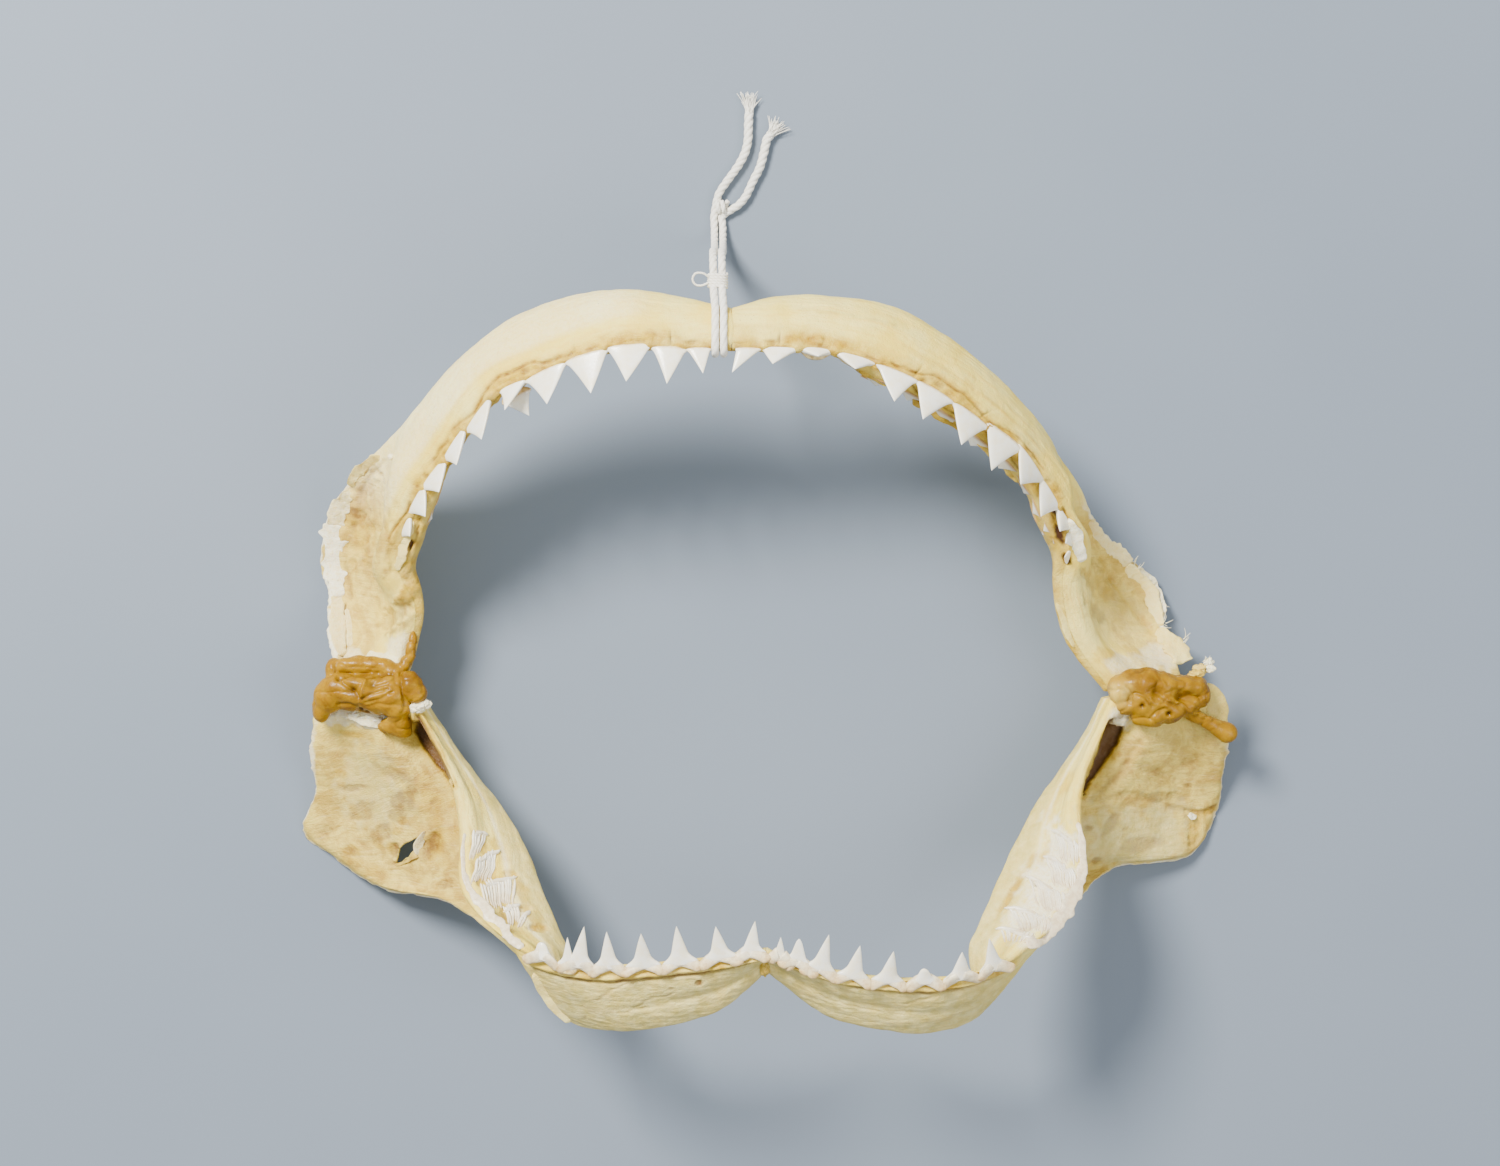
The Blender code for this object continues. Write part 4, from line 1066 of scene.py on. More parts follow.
LOWER_SPOTS = {
    "left": [
        ("stain", 0.55, 0.3, [
            (350, 788, 3.2, 1.2, 0), (405, 806, 2.0, 6.5, -12), (362, 812, 4.5, 3, 20),
            (352, 850, 3.5, 2.0, -30), (325, 830, 3, 2, 0), (445, 885, 3, 1.6, 20),
            (430, 845, 5, 3, 40), (380, 835, 6, 3, 30), (395, 775, 8, 2, -20)]),
        # painted shade beside the torn flaps and round the hole
        ("stain", 0.8, 0.8, [
            (430, 846, 2.6, 5.0, -25), (405, 861, 4.6, 1.0, 18), (395, 850, 1.6, 2.8, -20)]),
        # ochre, partly painted shade beside the flap
        ("gum", 0.8, 0.4, [(437, 845, 2.6, 6.5, -15), (392, 849, 2.0, 2.6, 0)]),
        ("grey", 0.7, 0.0, [(372, 790, 12, 17, 30)]),
        ("stain", 0.6, 0.1, [
            (404, 801, 3.6, 6.0, -30), (363, 786, 2.8, 0.8, -8), (396, 817, 3.4, 1.6, -30),
            (434, 801, 2.0, 0.8, 30), (412, 790, 2.2, 3.2, 20)]),
        ("stain", 0.4, 0.0, [(402, 762, 5.0, 1.4, -12)]),
        ("gum", 0.75, 0.0, [
            (340, 773, 3, 2, 0), (403, 821, 2.2, 1.4, 0), (396, 832, 2.4, 1.4, 20),
            (379, 845, 2.6, 1.4, -20), (352, 851, 3.2, 1.8, 0), (355, 735, 5, 1.2, -10)]),
        ("gum", 0.55, 0.0, [(432, 800, 4, 11, 15), (365, 868, 10, 3, -20), (445, 850, 3, 8, -10)]),
        ("pale", 0.6, -0.3, [(373, 722, 9.0, 2.6, -6), (338, 718, 7.0, 2.6, 4)]),
        ("stain", 0.95, 0.5, [(699, 983, 1.2, 0.9, 0)]),
        ("stain", 0.5, 0.2, [(671, 988, 0.8, 0.7, 0), (584, 1018, 0.9, 0.8, 0)]),
        ("gum", 0.9, 1.2, [
            (511, 874, 2.9, 1.2, -10), (525, 908, 2.6, 1.1, -10), (538, 927, 3.6, 1.4, -15)]),
        ("gum", 0.55, 0.0, [
            (520, 890, 5, 2.4, -55), (535, 915, 5, 2.6, -50), (500, 850, 5, 2, -60)]),
        ("gum", 0.7, 0.3, [
            (476, 845, 3.5, 6.5, 10), (484, 868, 5, 6, 20), (497, 892, 6, 6.5, 30),
            (511, 915, 5, 4, 30)]),
        ("stain", 0.45, 0.5, [
            (474, 852, 1.2, 5.0, -12), (481, 872, 3.5, 4.0, 10), (508, 914, 3, 3, 10)]),
    ],
    "right": [
        ("stain", 0.45, 0.3, [
            (1160, 798, 11, 1.8, 3), (1110, 825, 5, 2, 60), (1140, 845, 8, 3, 10),
            (1190, 760, 4, 2, 30), (1150, 770, 7, 2, -20)]),
        # greyish olive, partly painted shade on the plate's lower half
        ("grey", 0.85, 0.0, [(1135, 838, 24, 13, 4)]),
        ("stain", 0.6, 0.2, [
            (1096, 862, 2.2, 1.6, 20), (1088, 828, 1.6, 1.4, 0), (1112, 818, 1.0, 0.8, 0),
            (1189, 786, 1.5, 1.2, 0), (1155, 842, 1.0, 0.8, 0), (1125, 829, 1.2, 0.8, 30)]),
        # ochre painted shade beside the folded corner
        ("gum", 0.9, 0.9, [(1195, 830, 2.6, 8.0, -8), (1212, 812, 4.0, 1.4, 25)]),
        ("gum", 0.3, 0.0, [(1203, 757, 4, 9, 15)]),
        ("pale", 0.7, -0.3, [(1119, 719, 4.5, 3, -10)]),
        ("pale", 0.85, 0.0, [
            (1060, 850, 6, 12, 15), (1045, 890, 9, 10, 25), (1030, 920, 10, 7, 30)]),
        ("gum", 0.8, 0.8, [(1018, 882, 13, 1.3, 60), (1046, 850, 5, 1.2, 70)]),
    ],
}
LOWER_LINES = {
    "left": [
        # a slit: painted shade, near black, with an ochre rim of painted shade
        ("slit", 0.93, 2.2, 0, [
            (418, 719, 2.2), (422, 730, 2.6), (428, 742, 2.5), (437, 758, 2.0), (446, 772, 1.0),
            (454, 787, 0.3)]),
        # ochre painted shade on the fossa's wall by the arm
        ("gum", 0.85, 0.0, 2.2, [(438, 770), (449, 788), (457, 808), (459, 835)]),
        ("stain", 0.35, 0.4, 0.5, [(598, 1000), (612, 990), (632, 983)]),
        ("stain", 0.35, 0.4, 0.45, [(634, 1008), (652, 999), (672, 994)]),
        ("stain", 0.3, 0.35, 0.5, [(618, 1013), (634, 1010), (650, 1008)]),
    ],
    "right": [
        # a slit: painted shade, near black, with an ochre rim of painted shade
        ("slit", 0.93, 2.0, 0, [
            (1115, 726, 3.0), (1110, 740, 3.0), (1103, 754, 2.3), (1096, 768, 1.7),
            (1089, 780, 1.0), (1083, 795, 0.3)]),
        ("gum", 0.75, -0.5, 1.5, [(1129, 734), (1118, 754), (1106, 771), (1095, 789)]),
        # painted shade in the torn notch and along the fold below it
        ("stain", 0.7, 0.9, 0.7, [(1187, 811), (1200, 813), (1212, 809), (1222, 802)]),
        ("stain", 0.5, 0.5, 0.7, [(1188, 812), (1188, 830), (1191, 846)]),
        # painted shade in the plate's creases
        ("stain", 0.65, 0.8, 1.5, [(1139, 742), (1127, 762), (1112, 780), (1094, 797)]),
        ("stain", 0.5, 0.5, 1.3, [(1106, 799), (1128, 793), (1146, 799), (1166, 806), (1186, 811)]),
        ("stain", 0.3, 0.35, 0.5, [(905, 1004), (930, 998), (955, 988)]),
        ("stain", 0.3, 0.35, 0.5, [(820, 996), (850, 1006), (880, 1012)]),
    ],
}


# ---------------------------------------------------------------- teeth
def tooth_frame(along, inward, height, reach, lean):
    """The tooth's own axes: along the edge, up to the tip, and out of its front."""
    rise = math.sqrt(max(height ** 2 - reach ** 2 - lean ** 2, 1.0))
    tall = inward * reach + np.array((0, 0, rise))
    size = np.linalg.norm(tall)
    up = tall / size
    front = unit(np.cross(along, up))
    front = front * (np.sign(front @ -inward) or 1.0)
    return up, front, size


LEVELS = 80                # levels of a crown, and of its root
ROOT_LEVELS = 6
LENS = 20                  # points round a level
SERRATION = 0.62           # from point to point along a tooth's edge
FRONT_SHARE = 0.38         # how much of a crown's thickness lies before its edges


def blade(into, base, along, up, front, width, tall, lean, thick, profile, bow=0.06,
          bite=0.10, root=0.30, broken=1.0, gum=0.0, sink=0.0):
    """A tooth crown with the top of its root: lens-shaped levels up to a sharp tip.

    `profile` gives the half widths behind and ahead of the middle line, as shares
    of the half width, for levels from 0 at the gum to 1 at the tip."""
    levels = np.concatenate([np.linspace(-root, 0, ROOT_LEVELS + 1)[:-1],
                             1 - np.linspace(1, 0, LEVELS) ** 1.15])
    levels = levels[levels <= broken + 1e-9]
    rings, shade = [], []
    angle = circle(LENS)
    for t in levels:
        behind, ahead = profile(max(t, 0.0))
        taper = 1.0 if t >= 0 else 1 - 0.35 * (-t / root) ** 2
        edge = bite * (abs(((t * tall / SERRATION) % 1.0) - 0.5) * 2 - 0.5) * (t > 0.03)
        x = np.cos(angle)
        half = np.where(x < 0, behind, ahead) * width / 2 * taper
        blunt = 1.0
        if broken < 1:
            blunt = math.sqrt(max(1 - (max(t - broken + 0.16, 0.0) / 0.165) ** 2, 0.0))
        half = np.maximum((half + edge * (1 - t) ** 0.3) * blunt, 0.05)
        swell = thick * (max(1 - max(t, 0), 0.0) ** 0.75 + 0.03) * (0.92 if t < 0 else 1.0)
        swell = swell * max(blunt, 0.1)
        y = np.sin(angle)
        y = np.where(y > 0, y * FRONT_SHARE, y * (1 - FRONT_SHARE)) * swell
        offset = x * half + lean * t
        curve = bow * tall * (t * t) - bow * tall * 0.3 * t - sink * max(-t / root, 0.0) ** 1.3
        rings.append(base + up * tall * t + along[None] * offset[:, None]
                     + front[None] * (y + curve)[:, None])
        shade.append(np.full(LENS, ramp(t, 0.06, -0.08)))
    gum = np.clip(gum * ramp(levels, 0.3, -0.1), 0, 1)[:, None]
    into.add_rings(rings, root=np.array(shade), gum=gum)


def broad(t):
    """Upper crown: a broad triangle, its hind edge hollowed above the heel."""
    rest = 1 - t
    horn = 0.10 * math.exp(-(t / 0.07) ** 2)
    return 0.90 * rest ** 0.96 + horn, 0.78 * rest + 0.12 * rest ** 4 + horn


def narrow(t):
    """Lower crown: a slim cusp on a wide foot."""
    rest = min(1.0, (1 - t) / 0.80)
    foot = math.exp(-(t / 0.15) ** 2)
    return 0.50 * rest ** 0.84 + 0.50 * foot, 0.50 * rest ** 0.92 + 0.50 * foot


def lobes(into, base, along, down, front, width, seed):
    """The two lobes of a lower tooth's root, spreading under the cusp."""
    angle = circle(LENS)
    steps = np.linspace(0, 1, 22)
    for way in (-1, 1):
        rings = []
        for t in steps:
            middle = (base + along * way * (0.7 + (width * 0.50 - 0.7) * t ** 0.92)
                      + down * (-1.3 + 4.2 * t ** 1.2))
            closing = math.sqrt(max(1 - max(t - 0.8, 0) ** 2 / 0.0405, 0.02))
            heading = unit(along * way * 0.9 + down * (0.5 + 0.7 * t))
            beside = unit(np.cross(heading, front))
            bump = 1 + 0.12 * grain(np.cos(angle) * 1.5 + seed, np.full(LENS, t * 3.0), 33)
            wide = np.cos(angle) * (2.5 - 0.5 * t) * closing * bump
            deep = np.sin(angle) * (1.35 - 0.35 * t) * closing * bump
            rings.append(middle + beside[None] * wide[:, None] + front[None] * deep[:, None])
        into.add_rings(rings, root=0.40 + 0.55 * steps[:, None], gum=(0.5 * steps ** 2.5)[:, None])


def on_rail(rail):
    """A function that gives the place and heading at a distance along a rail."""
    edge = edge_of(rail, 500)
    run = run_of(edge)

    def place_at(distance):
        behind, base, ahead = (along_line(edge, run, distance + step) for step in (-3, 0, 3))
        along = unit(ahead - behind)
        inward = unit(np.array((-along[1], along[0], 0.0)))
        return base, along, inward * -np.sign(inward @ base)
    return place_at


HIND_SHIFT = 1.7           # how far out the upper hind teeth are seated
ROW_SPACING = 4.2          # between the rows of replacement teeth


def upper_teeth(side, form):
    """The upper jaw's working teeth, two rows of replacements, and single teeth behind."""
    teeth = Gathered()
    place_at = on_rail(UPPER_TOOTH_EDGE[side])
    for distance, width, height, reach, lean in UPPER_TEETH[side]:
        base, along, inward = place_at(distance)
        # the hind teeth are seated further out on the arch, with the tip where it is
        hind = HIND_SHIFT * float(ramp(distance, 95, 120)) * float(ramp(distance, 172, 160))
        base, width = base - inward * hind, width * (1 + 0.12 * hind)
        rise = height ** 2 - reach ** 2
        reach = reach + hind
        height = math.sqrt(rise + reach ** 2)
        up, front, tall = tooth_frame(along, inward, height, reach, lean)
        thick = 3.6 * min(1.0, width / 12)
        blade(teeth, base + front * 0.5 + inward * 0.7, along, up, front, width * 1.13, tall, lean,
              thick, broad, root=0.22, sink=2.6)
        # replacement teeth lie folded back against the inner face
        for row in (1, 2):
            offset = -(3.4 + ROW_SPACING * row)
            place, normal, lengthwise, crosswise = form.at(distance + 0.8 * row, offset)
            blade(teeth, place - normal * 0.25, lengthwise,
                  unit(-crosswise - normal * 0.02), normal, width * (0.94 - 0.05 * row),
                  tall * (0.52 - 0.06 * row), lean * 0.5, thick * 0.45, broad, root=0.12, gum=0.8)
    for x, y, z, width, tall, turn, tip in EXTRA_TEETH[side]:
        place = true_place((*at_pixel(x, y), z))
        heading = math.radians(turn)
        along = np.array((math.cos(heading), math.sin(heading), 0.0))
        up = unit(np.array((math.sin(heading), -math.cos(heading), tip)))
        front = unit(np.cross(up, along) * -1)
        blade(teeth, place, along, up, front, width, tall, 0.8, 2.4, broad, gum=0.35)
    return teeth


# Single teeth of the second row, and the small hind teeth: pixel and height of the base,
# width, length, heading of the base and rise of the tip.
EXTRA_TEETH = {
    "left": [(517, 397, 84, 12.5, 8.5, 28, 0.1), (409, 529, 47.8, 7, 5, 62, 0.5)],
    "right": [
        (1062, 521, 48, 6.5, 5.0, -58, 0.3), (1074, 538, 45.5, 5.0, 4.2, -64, 0.35),
        (1076, 546, 44.8, 4.6, 4.0, -66, 0.4), (1081, 560, 43.5, 4.6, 3.4, -72, 0.4)],
}
# How much of the cusp is left on the broken lower teeth.
BROKEN = {("left", 0): 0.62, ("right", 2): 0.78, ("right", 6): 0.86}


def lower_teeth(side, form):
    """The lower jaw's working teeth on their lobed roots."""
    teeth = Gathered()
    place_at = on_rail(ORAL_EDGE[side])
    for number, (distance, width, height, reach, lean) in enumerate(LOWER_TEETH[side]):
        base, along, inward = place_at(distance)
        up, front, tall = tooth_frame(along, inward, height, reach, lean)
        wide = max(width, 12.5) if width > 6 else 8.0
        broken = BROKEN.get((side, number), 1.0)
        blade(teeth, base + front * 0.9, along, up, front, wide * 0.98, tall, lean,
              4.0 * min(1.0, width / 11), narrow, bow=0.07, bite=0.03, broken=broken,
              root=0.10, sink=1.5)
        _, normal, _, crosswise = form.at(distance, -2.5)
        down = unit(-crosswise * 0.8 - inward * 0.4)
        lobes(teeth, base + front * 1.2, along, down, normal, wide * 1.16, number)
    if side == "left":
        base, along, inward = place_at(141.5)
        up, front, tall = tooth_frame(along, inward, 11.5, 10.8, -2.5)
        blade(teeth, base + front * 1.1, along, up, front, 8.0, tall, -1.0, 2.6, narrow,
              bow=0.07, bite=0.0)
    return teeth


def pages(into, form, low, high, count, tip, seed):
    """A family of replacement teeth seen on edge, like pages: thin strips lying side by
    side from a lower to an upper line of pixels, and the row of cusps that crowns them."""
    draws = np.random.default_rng(seed)
    low, high = np.array(line_by_pixel(low)), np.array(line_by_pixel(high))
    angle = circle(12)

    def strip(a, b, wide, tall, bow, crown=False):
        t = np.linspace(0, 1, 18)
        across = np.array((b[1] - a[1], a[0] - b[0]))
        sway = grain(t * np.linalg.norm(b - a) / 3.0, np.full(len(t), seed), seed) * 0.35
        plan = a + (b - a) * t[:, None] + across * (bow * np.sin(np.pi * t))[:, None]
        plan = plan + unit(across) * sway[:, None]
        seats = [form.seat(*place) for place in plan[::3]]
        height = np.polyval(np.polyfit(t[::3], [place[2] for place, _ in seats], 2), t)
        up = unit(np.mean([normal for _, normal in seats], axis=0) + np.array((0, 0, 0.6)))
        middle = true_place(np.column_stack([plan, height]))
        beside = unit(np.cross(unit(middle[-1] - middle[0]), up))
        if crown:
            side = wide * np.interp(t, [0, 0.15, 0.6, 0.85, 1], [0.2, 0.7, 1.0, 0.75, 0.05])
            lift = tall * np.interp(t, [0, 0.2, 0.7, 0.9, 1], [0.1, 0.5, 1.0, 0.9, 0.3])
        else:
            side = wide * np.interp(t, [0, 0.12, 0.5, 0.9, 1], [0.1, 0.8, 1.0, 1.0, 0.4])
            lift = tall * np.interp(t, [0, 0.25, 0.7, 0.93, 1], [0.05, 0.55, 0.9, 1.1, 0.3])
        into.add_rings(middle[:, None] + beside * (np.cos(angle) * side[:, None])[..., None]
                       + up * (np.sin(angle) * lift[:, None])[..., None],
                       root=(0.55 - 0.5 * t)[:, None], gum=(0.30 * ramp(t, 0.5, 0.0))[:, None])

    bow = draws.uniform(0.0, 0.07)
    for k in range(count):
        share = (k + 0.5 + 0.25 * draws.uniform(-1, 1)) / count
        a = low[0] + (low[1] - low[0]) * share
        b = high[0] + (high[1] - high[0]) * share
        a = a - (b - a) * draws.uniform(0.0, 0.30)
        b = b + (b - a) * draws.uniform(-0.05, 0.12)
        strip(a, b, draws.uniform(0.46, 0.66), draws.uniform(0.6, 0.95),
              bow + draws.uniform(-0.02, 0.02))
    a, b = (high[1], high[0]) if tip == "first" else (high[0], high[1])
    step = b - a
    rise = unit(high[0] - low[0])
    strip(a + step * 0.3, b + unit(step) * 1.4, 1.05, 1.25, 0.04, True)
    strip(a + step * 0.1 - rise * 1.3, a + step * 0.85, 0.8, 1.0, 0.0, True)
    strip(a - rise * 2.2, a + step * 0.55 - rise * 1.2, 0.7, 0.9, 0.0, True)


# Families of replacement teeth on the side arms: pixels of the lower and of the upper line,
# number of strips, and the end with the cusp.
PAGES = {
    "left": [
        ((469, 857), (479, 853), (472, 830), (485, 834), 6, "last"),
        ((471, 880), (492, 876), (477, 859), (497, 851), 10, "last"),
        ((486, 904), (513, 902), (479, 884), (514, 877), 13, "last"),
        ((507, 923), (518, 920), (501, 907), (517, 905), 6, "last"),
        ((518, 925), (521, 927), (520, 917), (528, 913), 2, "last")],
    "right": [
        ((1060, 857), (1079, 862), (1054, 832), (1077, 842), 9, "first"),
        ((1052, 880), (1077, 888), (1046, 857), (1074, 870), 11, "first"),
        ((1037, 904), (1066, 913), (1028, 878), (1063, 894), 13, "first"),
        ((1018, 929), (1050, 931), (1007, 909), (1052, 917), 13, "first"),
        ((1003, 940), (1028, 941), (999, 929), (1036, 934), 8, "first"),
    ],
}


def arm_teeth(side, form):
    """The lower jaw's side arm: replacement teeth on edge behind a ridge of worn roots."""
    teeth = Gathered()
    for number, (low_a, low_b, high_a, high_b, count, tip) in enumerate(PAGES[side]):
        pages(teeth, form, (low_a, low_b), (high_a, high_b), count, tip, 90 + number)
    flap(teeth, form, RIDGE[side], thick=1.7, curl=0.2, rag=1.3, sink=0.35, seed=55, root=0.5,
         gum=0.1)
    return teeth


# The white ridge of worn roots along the arm's outer edge: pixels and half widths in mm.
RIDGE = {
    "left": [
        (465, 832, 0.6), (463, 850, 0.8), (464, 872, 1.0), (471, 891, 1.4), (485, 909, 1.8),
        (500, 926, 2.2), (513, 940, 1.9), (524, 948, 1.2)],
    "right": [
        (1078, 822, 0.9), (1082, 845, 1.4), (1082, 872, 1.9), (1075, 895, 2.3), (1062, 917, 2.5),
        (1046, 934, 2.6), (1026, 947, 1.6)],
}


# ---------------------------------------------------------------- torn tissue
def flap(into, form, line, curl, thick, rag, seed, sink=0.5, inward=False, **marks):
    """A torn strip of dry tissue on a form.  `line` gives pixels and half widths in mm."""
    line = np.array([(*at_pixel(x, y), half) for x, y, half in line])
    fine = smooth(line, np.linspace(0, len(line) - 1, 14 * len(line)))
    seats = [form.seat(x, y) for x, y, _ in fine]
    heights = np.array([place[2] for place, _ in seats])
    weights = np.hanning(19)[1:-1]
    heights = np.convolve(np.pad(heights, 8, "edge"), weights / weights.sum(), "valid")
    middle = true_place(np.column_stack([fine[:, :2], heights]))
    middle = evenly(middle, 0.42)
    half = np.interp(np.linspace(0, 1, len(middle)), np.linspace(0, 1, len(fine)), fine[:, 2])
    run = run_of(middle)
    up = unit(np.mean([normal for _, normal in seats], axis=0) + np.array((0, 0, 1.0)))
    heading = unit(np.gradient(middle, axis=0))
    side = unit(np.cross(heading, up))
    if np.sum(side[:, :2] * middle[:, :2]) < 0:
        side = -side
    if inward:
        side = -side
    columns = 30
    angle = circle(columns)
    across, rise = np.cos(angle), np.sign(np.sin(angle)) * np.abs(np.sin(angle)) ** 0.6
    ends = np.minimum(ramp(run, -0.01, 1.6), ramp(run, run[-1] + 0.01, run[-1] - 1.6)) ** 0.5 + 0.02
    rings = []
    for k, place in enumerate(middle):
        near = grain(run[k] / np.array((4.2, 1.7, 3.9, 1.5)), np.array((0.0, 3.0, 9.0, 6.0)), seed)
        edge = rag * np.where(across > 0, 0.26 * near[0] + 0.15 * near[1],
                              0.30 * near[2] + 0.16 * near[3])
        reach = half[k] * across * (1 + edge * np.abs(across) ** 4) * ends[k]
        t = (across + 1) / 2
        lift = -sink + (curl + sink) * t ** 1.5 * ends[k]
        cells = stack(across * half[k] / 2.4, np.full(columns, run[k] / 2.6))
        crumb = 0.34 * rag * fractal(cells, 3, seed + 5)
        rings.append(place + side[k] * reach[:, None]
                     + up * (lift + rise * thick / 2 * ends[k] + crumb)[:, None])
    into.add_rings(rings, **marks)


def clump(into, x, y, z, sizes, seed, rough=0.25, **marks):
    """A lump of dry tissue at a pixel and a height."""
    centre = true_place((*at_pixel(x, y), z))
    tilt = np.linspace(0.06, np.pi - 0.06, 22)[:, None]
    turn = circle(30)[None]
    way = stack(np.sin(tilt) * np.cos(turn), np.sin(tilt) * np.sin(turn), np.cos(tilt) + 0 * turn)
    size = 1 + rough * fractal(way * 2.2 + seed, 3, seed)
    into.add_rings(centre + way * size[..., None] * np.array(sizes), **marks)


def whiskers(into, x, y, z, count, heading, length, seed, **marks):
    """Torn fibres that stand out from one place."""
    draws = np.random.default_rng(seed)
    for _ in range(count):
        start = true_place((*at_pixel(x + draws.uniform(-3, 3), y + draws.uniform(-3, 3)), z))
        turn = math.radians(heading + draws.normal(0, 28))
        way = unit(np.array((math.cos(turn), math.sin(turn), draws.uniform(-0.1, 0.5))))
        beside = np.array((-way[1], way[0], 0.0)) * draws.normal(0, 0.3)
        t = np.linspace(0, 1, 8)[:, None]
        line = start + (way * t + beside * t * t) * length * draws.uniform(0.5, 1.0)
        line[:, 2] = np.maximum(line[:, 2], 0.3)
        into.add_rings(tube(line, 0.22 * (1 - 0.7 * t), circle(5)), **marks)


# Fibres along the upper right rim: pixel and heading.
RIM_FIBRES = [(1135, 566, 60), (1148, 584, 40), (1158, 604, 20), (1164, 624, 20), (1182, 642, 70)]
# Lumps at the upper right plate's outer corner: pixel, size, and how chalky.
JOINT_LUMPS = [(1201, 669, 2.6, 0.1), (1209, 662, 1.8, 1.0), (1195, 675, 2.8, 0.0),
               (1211, 669, 1.7, 1.0)]
# Lumps on the lower left margin, and below the resin: pixel and size.
MARGIN_LUMPS = [(368, 717, 3.0), (377, 720, 3.2), (357, 714, 2.2), (386, 716, 2.4)]
JOINT_CRUMBS = {
    "left": [(420, 706, 2.8), (426, 704, 2.0), (415, 708, 2.2)],
    "right": [(1118, 718, 3.4), (1124, 712, 2.6), (1112, 706, 3.0), (1121, 700, 2.6)],
}


def upper_tissue(side, form):
    """Torn tissue on the upper plates' rims, at the joints and along the tooth edge."""
    tissue = Gathered()
    if side == "left":
        flap(tissue, form, [(381, 456, 1.3), (368, 465, 1.9), (356, 476, 2.0), (351, 487, 1.4)],
             curl=2.4, thick=1.2, rag=1.5, seed=1, pale=0.3, gum=0.12)
        flap(tissue, form, [(350, 490, 1.7), (343, 503, 2.9), (337, 517, 3.3), (335, 527, 3.0)],
             curl=2.6, thick=1.3, rag=1.4, seed=2, pale=0.7, gum=0.05)
        flap(tissue, form, [(335, 522, 3.4), (334, 540, 4.2), (335, 560, 4.2), (338, 580, 3.6),
             (342, 598, 2.4)], curl=2.4, thick=2.2, rag=1.7, seed=3, pale=1.0, gum=0.0)
        flap(tissue, form, [(337, 594, 2.4), (338, 612, 3.0), (338, 632, 3.2), (340, 648, 2.8),
             (345, 656, 1.6)], curl=2.2, thick=1.8, rag=0.8, seed=4, pale=0.5, gum=0.2)
        flap(tissue, form, [(347, 608, 0.9), (350, 628, 1.2), (350, 648, 1.2)], curl=1.0, thick=1.3,
             rag=0.6, seed=5, pale=0.5, gum=0.1)
        flap(tissue, form, [(413, 520, 1.2), (409, 532, 1.8), (404, 548, 2.0), (400, 560, 1.8),
             (396, 571, 1.2)], curl=0.8, thick=1.3, rag=1.4, seed=6, inward=True, pale=0.15,
             grey=0.3, gum=0.3)
        flap(tissue, form, [(398, 668, 1.6), (392, 660, 2.2), (380, 657, 2.0), (366, 656, 1.6)],
             curl=0.8, thick=1.4, rag=1.2, seed=7, pale=0.6, gum=0.0)
        clump(tissue, 391, 457, 49.3, (1.3, 1.3, 1.2), 8, pale=0.8, gum=0.0)
        flap(tissue, form, [(729.5, 311, 1.0), (730, 322, 1.5), (730, 335, 1.5), (730, 346, 1.0)],
             curl=0.3, thick=1.1, rag=0.6, sink=0.3, seed=9, gum=0.2)
    else:
        flap(tissue, form, [(1089, 520, 1.4), (1102, 541, 2.2), (1118, 553, 2.6), (1128, 566, 2.4)],
             curl=1.6, thick=1.4, rag=1.2, seed=11, pale=0.5, gum=0.1)
        flap(tissue, form, [(1125, 566, 1.6), (1138, 577, 2.2), (1148, 591, 2.4), (1154, 607, 2.2),
             (1161, 627, 1.5)], curl=1.6, thick=1.6, rag=1.4, seed=12, pale=0.35, gum=0.0)
        flap(tissue, form, [(1136, 568, 0.8), (1147, 578, 1.4), (1155, 591, 1.5), (1160, 603, 1.4),
             (1164, 614, 0.7)], curl=2.0, thick=1.1, rag=2.2, seed=19, pale=0.95, gum=0.0)
        flap(tissue, form, [(1158, 628, 1.8), (1168, 638, 3.2), (1176, 650, 3.8), (1182, 664, 3.6)],
             curl=1.0, thick=1.8, rag=1.8, seed=13, pale=0.25, gum=0.05)
        flap(tissue, form, [(1056, 602, 0.7), (1063, 618, 1.2), (1068, 634, 1.2), (1075, 648, 0.7)],
             curl=0.8, thick=1.3, rag=0.9, seed=14, inward=True, pale=0.1, gum=0.35)
        for k, (x, y, turn) in enumerate(RIM_FIBRES):
            whiskers(tissue, x, y, form.seat(*at_pixel(x, y))[0][2] + 1.0, 5, turn, 4.5, 60 + k,
                     pale=1.0, gum=0.0)
        for k, (x, y, size, chalk) in enumerate(JOINT_LUMPS):
            clump(tissue, x, y, 31 + k, (size, size * 0.8, size), 20 + k, 0.7, pale=chalk,
                  gum=0.75 * (1 - chalk))
        whiskers(tissue, 1206, 664, 32, 14, 65, 3.4, 77, pale=1.0, gum=0.0)
        flap(tissue, form, [(1068, 518, 1.2), (1074, 531, 2.0), (1079, 547, 2.3), (1081, 563, 1.8)],
             curl=0.9, thick=2.2, rag=1.2, seed=15, pale=1.0, gum=0.0)
        flap(tissue, form, [(858, 370, 0.8), (873, 377, 1.4), (888, 386, 0.9)], curl=0.4, thick=1.2,
             rag=1.8, seed=16, inward=True, gum=0.9, stain=0.2)
        flap(tissue, form, [(912, 400, 0.8), (930, 409, 1.5), (950, 422, 1.3), (966, 433, 0.9)],
             curl=0.4, thick=1.2, rag=1.9, seed=17, inward=True, gum=0.9, stain=0.2)
        flap(tissue, form, [(976, 441, 0.8), (990, 452, 1.5), (1006, 468, 1.5), (1019, 483, 1.0)],
             curl=0.4, thick=1.2, rag=1.9, seed=18, inward=True, gum=0.9, stain=0.2)
    return tissue


